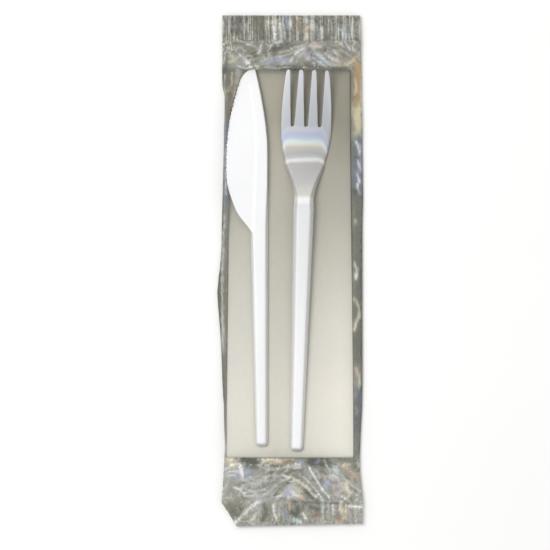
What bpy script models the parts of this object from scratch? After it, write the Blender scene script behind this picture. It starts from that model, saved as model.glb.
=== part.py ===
"""Meal pack: a plastic knife and fork lying on a folded paper napkin, flow-wrapped in clear film.

The pack lies on its back. X runs across it, Y along it towards the tines and Z up, with Z = 0 on the
surface that it rests on. Sizes are in metres. Run it with blender --background --python part.py.
"""

import math

import bmesh
import bpy
from mathutils import Vector

MM = 0.001

# Clearances between pieces
REST_GAP = 0.3 * MM
WRAP_GAP = 0.75 * MM

# Napkin: one square sheet of tissue, folded in half lengthways and then pleated
NAPKIN_WIDTH = 55.0 * MM
NAPKIN_LENGTH = 166.3 * MM
NAPKIN_CREEP = 3.0 * MM
NAPKIN_Y = 3.15 * MM
PLEATS = 6
TISSUE = 0.10 * MM
TISSUE_GAP = 0.07 * MM

# Film: one sheet, fin-sealed down the back and crimped at both ends
FILM = 0.08 * MM
PLY_GAP = 0.16 * MM
SIDE_MARGIN = 1.7 * MM
SIDE_FOLD = 0.5 * MM
TOP_TAIL = 11.4 * MM
BOTTOM_TAIL = 19.4 * MM
TOP_SEAL = 11.3 * MM
BOTTOM_SEAL = 10.2 * MM
SEAL_LIFT = 1.5 * MM
CRIMP_HEIGHT = 0.35 * MM
CRIMP_RIDGES = 18
FIN_COLUMNS = 6
GATHER_HEIGHT = 0.45 * MM
GATHER_LEAN = 2.86 * MM
EDGE_WANDER = 1.0 * MM
BOTTOM_SLANT = 1.3 * MM
DOG_EAR_SIDE = 10.3 * MM
DOG_EAR_END = 6.2 * MM

# Both pieces of cutlery: thin moulded walls, with an open channel under the handle
WALL = 1.1 * MM
SKIRT_DEPTH = 3.0 * MM
RIM_TRIM = 0.25 * MM
EDGE_ROUNDING = 0.85 * MM
END_FLANK = 2.0 * MM

# Knife
KNIFE_LENGTH = 162.6 * MM
KNIFE_INSET = 17.7 * MM
KNIFE_END_Y = -75.7 * MM
KNIFE_TOP_WIDTH = 5.0 * MM
KNIFE_END_WIDTH = 3.0 * MM
KNIFE_FLARE = 1.6 * MM
BLADE_LENGTH = 71.0 * MM
BLADE_WIDTH = 17.7 * MM
BLADE_THICKNESS = 1.3 * MM
BLADE_DROP = 0.35 * MM
SPINE_STOP = 4.0 * MM
TIP_SET_BACK = 5.3 * MM
SPINE_BEND = 34.0 * MM
TOOTH_PITCH = 1.75 * MM
TOOTH_DEPTH = 0.5 * MM

# Fork
FORK_LENGTH = 164.0 * MM
FORK_INSET = 19.8 * MM
FORK_TIP_Y = 86.2 * MM
FORK_TILT = math.radians(1.7)
HEAD_WIDTH = 21.9 * MM
HEAD_LENGTH = 47.1 * MM
NECK_AT = 54.8 * MM
NECK_WIDTH = 8.4 * MM
HANDLE_FROM = 60.0 * MM
HANDLE_WIDTH = 9.2 * MM
HANDLE_MIDDLE_WIDTH = 7.5 * MM
HANDLE_END_WIDTH = 6.3 * MM
TINES = 4
TINE_LENGTH = 24.3 * MM
TINE_POINT = 2.5 * MM
SLOT_WIDTH = 1.5 * MM
TIP_GAP = 3.7 * MM
TIP_ROUNDING = 0.8 * MM


def smooth_value(points, at):
    """Height at a place on a smooth curve through (place, height) points that rise in place."""
    if at <= points[0][0]:
        return points[0][1]
    if at >= points[-1][0]:
        return points[-1][1]
    i = max(n for n in range(len(points) - 1) if points[n][0] <= at)
    (x0, y0), (x1, y1) = points[i], points[i + 1]
    slopes = []
    for n in (i, i + 1):
        before, after = points[max(n - 1, 0)], points[min(n + 1, len(points) - 1)]
        slopes.append((after[1] - before[1]) / (after[0] - before[0]) * (x1 - x0))
    t = (at - x0) / (x1 - x0)
    return (
        y0 * (2 * t**3 - 3 * t**2 + 1)
        + slopes[0] * (t**3 - 2 * t**2 + t)
        + y1 * (3 * t**2 - 2 * t**3)
        + slopes[1] * (t**3 - t**2)
    )


def line_value(points, at):
    """Height at a place on the straight runs through (place, height) points that rise in place."""
    for (x0, y0), (x1, y1) in zip(points, points[1:]):
        if at <= x1:
            return y0 + (y1 - y0) * (at - x0) / max(x1 - x0, 1e-12)
    return points[-1][1]


def ease(t):
    """A smooth step from 0 to 1 as t goes from 0 to 1."""
    t = min(max(t, 0.0), 1.0)
    return t * t * (3 - 2 * t)


def upper_hull(points):
    """The points that a sheet drawn tight over all of them touches, from left to right."""
    hull = []
    for p in sorted(points):
        while len(hull) > 1:
            (x0, y0), (x1, y1) = hull[-2], hull[-1]
            if (x1 - x0) * (p[1] - y0) < (y1 - y0) * (p[0] - x0):
                break
            hull.pop()
        hull.append(p)
    return hull


def spaced(line, count):
    """count + 1 points at even distances along a line of (x, z) points."""
    lengths = [math.dist(a, b) for a, b in zip(line, line[1:])]
    total, found = sum(lengths), []
    for k in range(count + 1):
        left = total * k / count
        for a, b, length in zip(line, line[1:], lengths):
            if left <= length or b is line[-1]:
                share = min(left / max(length, 1e-12), 1.0)
                found.append((a[0] + (b[0] - a[0]) * share, a[1] + (b[1] - a[1]) * share))
                break
            left -= length
    return found


def material(name, colour, roughness, alpha=1.0):
    """A plain surface of one colour."""
    made = bpy.data.materials.new(name)
    made.use_nodes = True
    surface = made.node_tree.nodes["Principled BSDF"]
    surface.inputs["Base Color"].default_value = (*colour, 1.0)
    surface.inputs["Roughness"].default_value = roughness
    surface.inputs["Metallic"].default_value = 0.0
    surface.inputs["Alpha"].default_value = alpha
    return made


def shaped_grid(columns, rows, place):
    """A grid of columns by rows cells, each corner put where place(column, row) says.

    Its upper side is the one that faces up while columns run along X and rows along Y.
    """
    bm = bmesh.new()
    bmesh.ops.create_grid(bm, x_segments=columns, y_segments=rows, size=1.0)
    for corner in bm.verts:
        column = round((corner.co.x + 1) / 2 * columns)
        row = round((corner.co.y + 1) / 2 * rows)
        corner.co = Vector(place(column, row))
    return bm


def new_object(name, bm, collection, finish=None):
    """An object made from a bmesh, in one material or, for a cutter, in none."""
    mesh = bpy.data.meshes.new(name)
    bm.to_mesh(mesh)
    bm.free()
    if finish:
        mesh.materials.append(finish)
    made = bpy.data.objects.new(name, mesh)
    collection.objects.link(made)
    return made


def prism(name, outline, low, high, collection):
    """A flat outline of (x, y) points, filled and raised from low to high."""
    curve = bpy.data.curves.new(name, "CURVE")
    curve.dimensions = "2D"
    curve.fill_mode = "BOTH"
    curve.extrude = (high - low) / 2
    spline = curve.splines.new("POLY")
    spline.points.add(len(outline) - 1)
    for point, (x, y) in zip(spline.points, outline):
        point.co = (x, y, 0.0, 1.0)
    spline.use_cyclic_u = True
    drawn = bpy.data.objects.new(name + "_outline", curve)
    collection.objects.link(drawn)
    drawn.location.z = (low + high) / 2
    bpy.context.view_layer.update()
    graph = bpy.context.evaluated_depsgraph_get()
    mesh = bpy.data.meshes.new_from_object(drawn.evaluated_get(graph))
    bm = bmesh.new()
    bm.from_mesh(mesh)
    bmesh.ops.remove_doubles(bm, verts=bm.verts, dist=1e-6)
    bmesh.ops.recalc_face_normals(bm, faces=bm.faces)
    bm.to_mesh(mesh)
    bm.free()
    made = bpy.data.objects.new(name, mesh)
    made.matrix_world = drawn.matrix_world.copy()
    collection.objects.link(made)
    bpy.data.objects.remove(drawn)
    return made


def helper(made):
    """Marks an object as a cutter or a joined shape, which isn't a part by itself."""
    made.hide_render = True
    made.display_type = "WIRE"
    return made


def thicken(made, thickness, offset=0.0):
    """Gives an open surface its thickness; offset 0 grows it both ways and -1 below only."""
    solidify = made.modifiers.new("thickness", "SOLIDIFY")
    solidify.thickness = thickness
    solidify.offset = offset
    solidify.use_even_offset = offset != 0.0


def boolean(made, operation, other):
    """Cuts another object from this one, or joins it."""
    step = made.modifiers.new(operation.lower() + "_" + other.name, "BOOLEAN")
    step.operation = operation
    step.object = other
    step.solver = "EXACT"
    step.use_self = True


# Levels of the plies, from the resting surface up
PLY_PITCH = FILM + PLY_GAP
TISSUE_PITCH = TISSUE + TISSUE_GAP
FIN_OUTER = FILM / 2
FIN_INNER = FIN_OUTER + PLY_PITCH
BACK = FIN_INNER + PLY_PITCH
NAPKIN_LOW = BACK + FILM / 2 + REST_GAP
NAPKIN_HIGH = NAPKIN_LOW + (2 * PLEATS - 1) * TISSUE_PITCH + TISSUE
CUTLERY_LOW = NAPKIN_HIGH + REST_GAP
NAPKIN_TOP_Y = NAPKIN_Y + NAPKIN_LENGTH / 2
NAPKIN_BOTTOM_Y = NAPKIN_Y - NAPKIN_LENGTH / 2


def napkin_half_width(y):
    """Half the napkin's width at y: its pleats close up a little towards the tines."""
    return NAPKIN_WIDTH / 2 - NAPKIN_CREEP / 2 * ease((y - NAPKIN_BOTTOM_Y) / NAPKIN_LENGTH)


def make_napkin(collection):
    """The whole sheet as one folded surface: doubled at the tines' end, then pleated across X."""
    turn_steps = 4
    half_panel = NAPKIN_WIDTH / 2 - 1.5 * TISSUE_PITCH - TISSUE / 2
    first_panel = NAPKIN_LOW + TISSUE / 2 + TISSUE_PITCH / 2
    across = []
    for pleat in range(PLEATS):
        way = 1 if pleat % 2 == 0 else -1
        level = first_panel + 2 * TISSUE_PITCH * pleat
        across.append((-way * half_panel, level, 0.0, way))
        across.append((way * half_panel, level, 0.0, way))
        if pleat < PLEATS - 1:
            for step in range(1, turn_steps):
                angle = math.pi * step / turn_steps
                x = way * (half_panel + TISSUE_PITCH * math.sin(angle))
                z = level + TISSUE_PITCH * (1 - math.cos(angle))
                across.append((x, z, -way * math.sin(angle), way * math.cos(angle)))
    half_ply = TISSUE_PITCH / 2
    fold_y = NAPKIN_TOP_Y - half_ply - TISSUE / 2
    along = [(NAPKIN_BOTTOM_Y, half_ply)]
    for step in range(turn_steps + 1):
        angle = math.pi * step / turn_steps
        along.append((fold_y + half_ply * math.sin(angle), half_ply * math.cos(angle)))
    along.append((NAPKIN_BOTTOM_Y, -half_ply))

    def place(column, row):
        x, z, normal_x, normal_z = across[column]
        y, shift = along[row]
        narrowing = napkin_half_width(y) / (NAPKIN_WIDTH / 2)
        return (x + normal_x * shift) * narrowing, y, z + normal_z * shift

    folded = shaped_grid(len(across) - 1, len(along) - 1, place)
    finish = material("napkin_tissue", (0.78, 0.76, 0.69), 0.95)
    made = new_object("napkin", folded, collection, finish)
    thicken(made, TISSUE)


SIDE_CELLS = 2


def channel(half, reach, top, depth, drop, flats):
    """Corners (x, z) across a skirted face, from its left rim to its right one.

    The face is flat out to half, turns over by drop and then slopes down to the rim at reach, which
    makes SIDE_CELLS cells on each side of its flats.
    """
    rim = [(reach, top - depth), (half + 0.35 * (reach - half), top - drop), (half, top)]
    inner = [(half * (2 * n / flats - 1), top) for n in range(1, flats)]
    return [(-x, z) for x, z in rim] + inner + rim[::-1]


def handle_end():
    """Rows where the skirt goes round a handle's end: distance from the end, drop and narrowing."""
    rim = (0.0, SKIRT_DEPTH + RIM_TRIM, EDGE_ROUNDING)
    shoulder = (0.65 * END_FLANK, EDGE_ROUNDING, 0.5 * EDGE_ROUNDING)
    return [rim, shoulder, (END_FLANK, 0.0, 0.0)]


# Knife, measured from its spine's straight edge (x) and its handle's end (y)
KNIFE_SPINE_X = KNIFE_INSET - NAPKIN_WIDTH / 2
KNIFE_TOP = CUTLERY_LOW + SKIRT_DEPTH
BLADE_FOOT = KNIFE_LENGTH - BLADE_LENGTH
SPINE_TIP_WIDTH = 2 * WALL + 0.4 * MM
SPINE_END = KNIFE_LENGTH - SPINE_STOP
SPINE_FADE = 9.0 * MM
SPINE_SINK = 0.1 * MM
TOOTHED_FROM = BLADE_FOOT + 0.30 * BLADE_LENGTH
TOOTHED_TO = BLADE_FOOT + 0.90 * BLADE_LENGTH


def spine_x(y):
    """The spine's right edge: straight, then leaning over to the tip along the last SPINE_BEND."""
    lean = max(0.0, (y - (KNIFE_LENGTH - SPINE_BEND)) / SPINE_BEND)
    return -TIP_SET_BACK * lean**1.55


def knife_edge():
    """The cutting edge from the handle to the tip, as shares of the blade's length and width."""
    shares = [
        (0.00, 0.34), (0.04, 0.45), (0.12, 0.70), (0.21, 0.855), (0.28, 0.945), (0.34, 0.995),
        (0.42, 1.00), (0.50, 0.995), (0.58, 0.975), (0.69, 0.92), (0.79, 0.825), (0.86, 0.75),
        (0.91, 0.68), (0.95, 0.605), (0.98, 0.50), (1.00, 0.37),
    ]
    return [(BLADE_FOOT + a * BLADE_LENGTH, -b * BLADE_WIDTH) for a, b in shares]


def blade_outline():
    """The blade's outline, with a notch at every second point of its toothed stretch."""
    edge = knife_edge()
    plain, fine = 1.6 * MM, 0.6 * MM
    beside_spine, under_handle = 0.2 * MM, 0.9 * MM
    outline = []
    y, notch = BLADE_FOOT, False
    while y < KNIFE_LENGTH - fine / 2:
        in_teeth = TOOTHED_FROM <= y <= TOOTHED_TO
        x = smooth_value(edge, y)
        outline.append((x + (TOOTH_DEPTH if notch and in_teeth else 0.0), y))
        notch = not notch
        near_tip = y > SPINE_END
        y += TOOTH_PITCH / 2 if in_teeth else fine if near_tip else plain
    stations = 9
    for n in range(stations + 1):
        y = KNIFE_LENGTH - SPINE_BEND * n / stations
        outline.append((spine_x(y) + beside_spine, y))
    outline.append((-under_handle, BLADE_FOOT))
    return outline


def spine_top(y):
    """Height of the handle and of the spine, which sinks into the blade towards its end."""
    return KNIFE_TOP - (BLADE_DROP + SPINE_SINK) * ease((y - SPINE_END + SPINE_FADE) / SPINE_FADE)


def knife_section(y):
    """Left and right edges of the top face, and the skirt's flare and depth, at y along the knife."""
    widths = [(0.0, KNIFE_END_WIDTH), (BLADE_FOOT, KNIFE_TOP_WIDTH), (KNIFE_LENGTH, SPINE_TIP_WIDTH)]
    left = spine_x(y) - KNIFE_FLARE / 2 - line_value(widths, y)
    flare = KNIFE_FLARE * (1 - 0.75 * ease((y - BLADE_FOOT) / (0.35 * BLADE_LENGTH)))
    right = spine_x(y) + KNIFE_FLARE / 4 - 0.75 * flare
    handle_depth = SKIRT_DEPTH + RIM_TRIM
    depth = handle_depth + (BLADE_THICKNESS - handle_depth) * ease((y - BLADE_FOOT) / BLADE_LENGTH)
    return left, right, flare, depth


def make_knife(collection, helpers):
    """A channel-shaped handle that runs on as the blade's spine, joined to the toothed blade."""
    end_rows, handle_rows, blade_rows = handle_end(), 4, 10
    handle_run = BLADE_FOOT - END_FLANK
    blade_run = SPINE_END - BLADE_FOOT

    def place(column, row):
        beyond = row - len(end_rows) + 1
        drop, narrowing = 0.0, 0.0
        if beyond <= 0:
            y, drop, narrowing = end_rows[row]
        elif beyond <= handle_rows:
            y = END_FLANK + handle_run * beyond / handle_rows
        else:
            y = BLADE_FOOT + blade_run * (beyond - handle_rows) / blade_rows
        left, right, flare, depth = knife_section(y)
        half, middle = (right - left) / 2, (left + right) / 2
        x, z = channel(half, half + flare, spine_top(y), depth, EDGE_ROUNDING, 1)[column]
        x *= 1 - narrowing / (half + flare)
        return KNIFE_SPINE_X + middle + x, KNIFE_END_Y + y, min(z, KNIFE_TOP - drop)

    rows = len(end_rows) - 1 + handle_rows + blade_rows
    finish = material("knife_plastic", (0.93, 0.93, 0.94), 0.32)
    made = new_object("knife", shaped_grid(2 * SIDE_CELLS + 1, rows, place), collection, finish)
    thicken(made, WALL, -1.0)
    high = KNIFE_TOP - BLADE_DROP
    outline = [(KNIFE_SPINE_X + x, KNIFE_END_Y + y) for x, y in blade_outline()]
    blade = helper(prism("knife_blade", outline, high - BLADE_THICKNESS, high, helpers))
    thin_to_edge(blade)
    boolean(made, "UNION", blade)
    trim_rims(made, helpers)


def trim_rims(made, helpers):
    """Cuts the skirt's rims level, where the piece rests on the napkin."""
    block = bmesh.new()
    size = Vector((2 * NAPKIN_WIDTH, 3 * max(KNIFE_LENGTH, FORK_LENGTH), CUTLERY_LOW))
    bmesh.ops.create_cube(block, size=1.0)
    bmesh.ops.scale(block, vec=size, verts=block.verts)
    floor = helper(new_object(made.name + "_trim", block, helpers))
    floor.location.z = CUTLERY_LOW / 2
    boolean(made, "DIFFERENCE", floor)


def thin_to_edge(blade):
    """Slopes the blade's under face, so that it is half as thick at its cutting edge."""
    for corner in blade.data.vertices:
        if corner.co.z < 0:
            away = (KNIFE_SPINE_X - corner.co.x) / BLADE_WIDTH
            corner.co.z += BLADE_THICKNESS / 2 * away


# Fork, measured from its tines' tips (s) along its own centre line, and across it (x)
FORK_TIP_X = NAPKIN_WIDTH / 2 - FORK_INSET
TINE_PITCH = (HEAD_WIDTH + SLOT_WIDTH) / TINES
TIP_CLOSING = 0.045
BOWL_STAND = 0.03 * MM
TINE_SLOPE = -0.27
TINE_BEND = (8.0 * MM, 0.07, 7.0 * MM)
BOWL_BEND = (26.5 * MM, 0.20, 6.0 * MM)
NECK_BEND = (38.8 * MM, 0.33, 1.2 * MM)
HANDLE_BEND_AT = 56.0 * MM
HANDLE_BEND_REACH = 1.6 * MM
HEAD_SHAPE = [
    (0.0, 0.79), (0.017, 0.835), (0.05, 0.866), (0.13, 0.905), (0.27, 0.958), (0.40, 0.983), (0.56, 1.0),
    (0.64, 0.988), (0.73, 0.93), (0.82, 0.845), (0.91, 0.73), (1.0, 0.57),
]
SKIRT_SHARES = [
    (0.0, 0.08), (0.34, 0.1), (0.45, 0.28), (0.54, 0.39), (0.63, 0.41), (0.72, 0.68), (0.87, 0.95),
    (1.0, 1.1),
]
HEAD_FLANK = 1.0 * MM
HANDLE_FLANK = 2.0 * MM
HANDLE_END_FLANK = 1.5 * MM
HEAD_ROW = 3.6 * MM
HANDLE_ROW = 26.0 * MM


def bent_height(s, bends):
    """Height along a line that starts with the tines' slope and turns at each bend."""
    height = TINE_SLOPE * s
    for at, change, reach in bends:
        t = min(max((s - at) / reach, -1.0), 1.0)
        past = max(s - at - reach, 0.0)
        height += change * (reach * (t + 1) ** 2 / 4 + past)
    return height


def fork_bends():
    """All bends, the last one chosen so that the handle's end comes down onto the napkin."""
    fixed = [TINE_BEND, BOWL_BEND, NECK_BEND]
    wanted = bent_height(BOWL_FLOOR, fixed) - WALL - BOWL_STAND + SKIRT_DEPTH
    change = (wanted - bent_height(FORK_LENGTH, fixed)) / (FORK_LENGTH - HANDLE_BEND_AT)
    return fixed + [(HANDLE_BEND_AT, change, HANDLE_BEND_REACH)]


BOWL_FLOOR = (BOWL_BEND[0] + BOWL_BEND[2] + NECK_BEND[0] - NECK_BEND[2]) / 2
FORK_BENDS = fork_bends()


def fork_top(s):
    """Height of the fork's top face, whose bowl and handle end both rest on the napkin."""
    above_bowl = bent_height(s, FORK_BENDS) - bent_height(BOWL_FLOOR, FORK_BENDS)
    return above_bowl + CUTLERY_LOW + WALL + BOWL_STAND


def fork_reach(s):
    """Half the fork's whole width."""
    points = [(at * HEAD_LENGTH, share * HEAD_WIDTH / 2) for at, share in HEAD_SHAPE]
    points += [(NECK_AT, NECK_WIDTH / 2), (HANDLE_FROM, HANDLE_WIDTH / 2)]
    points += [((HANDLE_FROM + FORK_LENGTH) / 2, HANDLE_MIDDLE_WIDTH / 2)]
    points += [(FORK_LENGTH, HANDLE_END_WIDTH / 2)]
    return smooth_value(points, s)


def fork_face(s):
    """Half the width of the fork's flat top face."""
    flanks = [(0.0, HEAD_FLANK), (0.63 * HANDLE_FROM, 1.2 * HEAD_FLANK), (HANDLE_FROM, HANDLE_FLANK)]
    return fork_reach(s) - line_value(flanks + [(FORK_LENGTH, HANDLE_END_FLANK)], s)


def fork_skirt(s):
    """How far the fork's rim lies below its top face."""
    shares = [(at * HANDLE_FROM, share) for at, share in SKIRT_SHARES]
    return (SKIRT_DEPTH + RIM_TRIM) * line_value(shares + [(FORK_LENGTH, 1.0)], s)


def fork_stations():
    """Places of the fork's rows, closer together in its head, with one at each end of a bend."""
    tip_rows = [0.0, TINE_POINT / 3, TINE_POINT]
    bends = [BOWL_BEND, NECK_BEND, (HANDLE_BEND_AT, 0.0, HANDLE_BEND_REACH)]
    marks = tip_rows + [at + side * reach for at, _, reach in bends for side in (-1, 0, 1)]
    marks += [HANDLE_FROM, FORK_LENGTH - END_FLANK]
    stations = []
    for start, end in zip(marks, marks[1:]):
        longest = HEAD_ROW if end <= HANDLE_FROM else HANDLE_ROW
        steps = max(1, math.ceil((end - start) / longest))
        stations += [start + (end - start) * n / steps for n in range(steps)]
    return stations


def on_fork(x, s):
    """A place given across and along the fork, as x and y of the pack."""
    cos, sin = math.cos(FORK_TILT), math.sin(FORK_TILT)
    return FORK_TIP_X + x * cos - s * sin, FORK_TIP_Y - x * sin - s * cos


def slot_outline(number):
    """A gap between two tines: round at its root and widening evenly to their rounded tips."""
    root = SLOT_WIDTH / 2
    straight_end = TINE_LENGTH - root
    rounded = [TIP_ROUNDING * share for share in (0.0, 0.12, 0.45, 1.0)]
    places = [-TIP_ROUNDING] + rounded + [straight_end]

    def half_gap(s):
        corner = max(TIP_ROUNDING - max(s, 0.0), 0.0)
        rounding = TIP_ROUNDING - math.sqrt(TIP_ROUNDING**2 - corner**2)
        return root + (TIP_GAP / 2 - root) * (1 - s / straight_end) + rounding

    def centre(s):
        closing = 1 - TIP_CLOSING * (1 - s / TINE_LENGTH)
        return (number - (TINES - 2) / 2) * TINE_PITCH * closing

    left = [(centre(s) - half_gap(s), s) for s in places]
    right = [(centre(s) + half_gap(s), s) for s in reversed(places)]
    steps = 6
    arc = []
    for n in range(1, steps):
        angle = math.pi * n / steps
        arc.append((centre(straight_end) - root * math.cos(angle), straight_end + root * math.sin(angle)))
    return left + arc + right


def make_fork(collection, helpers):
    """One bent sheet with turned-down edges, slotted into tines and open under its handle."""
    flats = 3
    stations = [(s, 0.0, 0.0) for s in fork_stations()]
    stations += [(FORK_LENGTH - back, drop, narrowing) for back, drop, narrowing in reversed(handle_end())]
    last = len(stations) - 1

    def place(column, row):
        s, drop, narrowing = stations[last - row]
        reach, depth, top = fork_reach(s), fork_skirt(s), fork_top(s)
        x, z = channel(fork_face(s), reach, top, depth, depth * EDGE_ROUNDING / SKIRT_DEPTH, flats)[column]
        px, py = on_fork(x * (1 - narrowing / reach), s)
        return px, py, min(z, top - drop)

    finish = material("fork_plastic", (0.90, 0.91, 0.92), 0.25)
    made = new_object("fork", shaped_grid(2 * SIDE_CELLS + flats, last, place), collection, finish)
    thicken(made, WALL, -1.0)
    for number in range(TINES - 1):
        outline = [on_fork(x, s) for x, s in slot_outline(number)]
        slot = helper(prism(f"tine_slot_{number + 1}", outline, 0.0, 2 * fork_top(0.0), helpers))
        boolean(made, "DIFFERENCE", slot)
    trim_rims(made, helpers)


# Film: where its contents end, and how its edges wander from a straight tube
CONTENT_TOP = max(NAPKIN_TOP_Y, KNIFE_END_Y + KNIFE_LENGTH, FORK_TIP_Y + REST_GAP) + REST_GAP
CONTENT_BOTTOM = min(NAPKIN_BOTTOM_Y, KNIFE_END_Y, on_fork(0.0, FORK_LENGTH)[1]) - REST_GAP
TOP_SEAL_LINE = CONTENT_TOP + TOP_TAIL
BOTTOM_SEAL_LINE = CONTENT_BOTTOM - BOTTOM_TAIL
FILM_TOP = TOP_SEAL_LINE + TOP_SEAL
FILM_BOTTOM = BOTTOM_SEAL_LINE - BOTTOM_SEAL
CRIMP_START = 0.7 * MM
MIDDLE_ROWS = 15
FILM_ROW = (CONTENT_TOP - CONTENT_BOTTOM) / MIDDLE_ROWS
COLUMNS = 2 * CRIMP_RIDGES
FIN_ROOT = COLUMNS // 2 - FIN_COLUMNS // 2
TURN_STEPS = 3
FOLD_STEPS = 4

LEFT_WANDER = [
    (0.00, 0.5), (0.05, 0.5), (0.12, -0.6), (0.15, -0.9), (0.21, -0.5), (0.27, 0.0), (0.34, 0.5),
    (0.40, 1.3), (0.455, 2.4), (0.50, 1.4), (0.55, 0.5), (0.62, 0.3), (0.73, -0.5), (0.835, -0.7),
    (0.86, 0.0), (1.00, 0.0),
]
RIGHT_WANDER = [
    (0.00, 2.4), (0.05, 2.3), (0.10, 1.1), (0.14, 0.7), (0.19, 1.3), (0.25, 2.0), (0.60, 2.0),
    (0.66, 2.4), (0.72, 2.0), (0.95, 1.9), (1.00, 1.6),
]


def film_edges(y):
    """The tube's left and right edges at y, as it lies flat."""
    share = (y - FILM_BOTTOM) / (FILM_TOP - FILM_BOTTOM)
    half = NAPKIN_WIDTH / 2 + SIDE_MARGIN
    left_out, right_out = line_value(LEFT_WANDER, share), line_value(RIGHT_WANDER, share)
    return -half - left_out * EDGE_WANDER, half + right_out * EDGE_WANDER


def fork_line():
    """The line that film drawn tight along the fork follows, as (y, z) points."""
    steps = 60
    places = [FORK_LENGTH * n / steps for n in range(steps + 1)]
    return upper_hull([(on_fork(0.0, s)[1], fork_top(s)) for s in places])


FORK_LINE = fork_line()


def taut_section(y):
    """Film drawn tight over the contents at y, as points from the left side fold to the right one."""
    y = min(max(y, CONTENT_BOTTOM + REST_GAP), CONTENT_TOP - REST_GAP)
    left, right = film_edges(y)
    shoulder, start = napkin_half_width(y) + WRAP_GAP, BACK + 2 * SIDE_FOLD
    points = [(left + SIDE_FOLD, start), (right - SIDE_FOLD, start)]
    points += [(-shoulder, NAPKIN_HIGH + WRAP_GAP), (shoulder, NAPKIN_HIGH + WRAP_GAP)]
    along_knife = min(max(y - KNIFE_END_Y, 0.0), KNIFE_LENGTH)
    face_left, face_right, flare, _ = knife_section(along_knife)
    knife_high = KNIFE_TOP + WRAP_GAP
    near = [along_knife - FILM_ROW, along_knife, along_knife + FILM_ROW]
    blade = [smooth_value(knife_edge(), at) for at in near if at > BLADE_FOOT - FILM_ROW]
    if blade:
        points.append((KNIFE_SPINE_X + min(blade) - WRAP_GAP / 2, knife_high - BLADE_DROP))
    points.append((KNIFE_SPINE_X + face_left - flare / 2, knife_high))
    points.append((KNIFE_SPINE_X + face_right + flare / 2, knife_high))
    along_fork = min(max((FORK_TIP_Y - y) / math.cos(FORK_TILT), 0.0), FORK_LENGTH)
    middle = on_fork(0.0, along_fork)[0]
    reach = (fork_face(along_fork) + fork_reach(along_fork)) / 2
    fork_high = line_value(FORK_LINE, y) + WRAP_GAP
    points += [(middle - reach, fork_high), (middle + reach, fork_high)]
    section = spaced(upper_hull(points), COLUMNS)
    heights = [z for _, z in section]
    around = zip([heights[0]] + heights[:-1], heights, heights[1:] + [heights[-1]])
    return [(x, (before + 2 * z + after) / 4) for (x, _), (before, z, after) in zip(section, around)]


def film_rows():
    """Places along the film that need a row of corners, from bottom to top."""
    bottom_rows, top_rows = 6, 5
    rows = [FILM_BOTTOM, BOTTOM_SEAL_LINE - CRIMP_START]
    rows += [BOTTOM_SEAL_LINE + BOTTOM_TAIL * n / bottom_rows for n in range(bottom_rows)]
    rows += [CONTENT_BOTTOM + FILM_ROW * n for n in range(MIDDLE_ROWS)]
    rows += [CONTENT_TOP + TOP_TAIL * n / top_rows for n in range(top_rows)]
    return rows + [TOP_SEAL_LINE, TOP_SEAL_LINE + CRIMP_START, FILM_TOP]


def gather(share, y, seed):
    """A wave between -1 and 1 for the gathers that fan out of an end seal."""
    across = 2 * math.pi * (4.2 + math.sin(seed)) * share
    fan = 2.6 * math.sin(2.1 * math.pi * share + 1.7 * seed)
    lean = y / GATHER_LEAN * math.sin(9 * share + seed)
    return 0.65 * math.sin(across + fan + lean) + 0.35 * math.sin(2.3 * (across + fan) + seed - lean)


def film_section(y):
    """One row's corners: the base line that the flat plies share, and the front ply."""
    left, right = film_edges(y)
    pressed = max(ease((y - CONTENT_TOP) / TOP_TAIL), ease((CONTENT_BOTTOM - y) / BOTTOM_TAIL))
    at_top = y > 0
    seed = 0.9 if at_top else 2.2
    gather_y = min(max(y, BOTTOM_SEAL_LINE), TOP_SEAL_LINE)
    crimped = not BOTTOM_SEAL_LINE - CRIMP_START / 2 < y < TOP_SEAL_LINE + CRIMP_START / 2
    fold = SIDE_FOLD + (PLY_PITCH / 2 - SIDE_FOLD) * pressed
    low, high = left + fold + FILM / 2, right - fold - FILM / 2
    taut = taut_section(y)
    flat, front = [], []
    for k in range(COLUMNS + 1):
        share = k / COLUMNS
        calm = 1.0 if at_top else ease((share - 0.22) / 0.25)
        base = GATHER_HEIGHT * gather(share, gather_y, seed)
        if crimped:
            base += CRIMP_HEIGHT * (1 if k % 2 == 0 else -1)
        base = (SEAL_LIFT + base * (1 - (1 - calm) * pressed)) * pressed
        slanted_y = y if at_top else y + BOTTOM_SLANT * share * pressed
        x = low + (high - low) * share
        flat.append(Vector((x, slanted_y, base)))
        stand = (taut[k][1] - BACK) * (1 - pressed)
        stand *= 1 + 0.3 * math.sin(math.pi * pressed) * gather(share, gather_y, seed + 2)
        front_x = taut[k][0] + (x - taut[k][0]) * pressed
        front.append(Vector((front_x, slanted_y, BACK + base + max(stand, PLY_PITCH))))
    return flat, front


def around_edge(start, end, outward, step):
    """A point on the half circle that turns a ply over from start to end."""
    angle = math.pi * step / TURN_STEPS
    middle, arm = (start + end) / 2, (start - end) / 2
    return middle + arm * math.cos(angle) + Vector((outward * arm.length * math.sin(angle), 0, 0))


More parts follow.
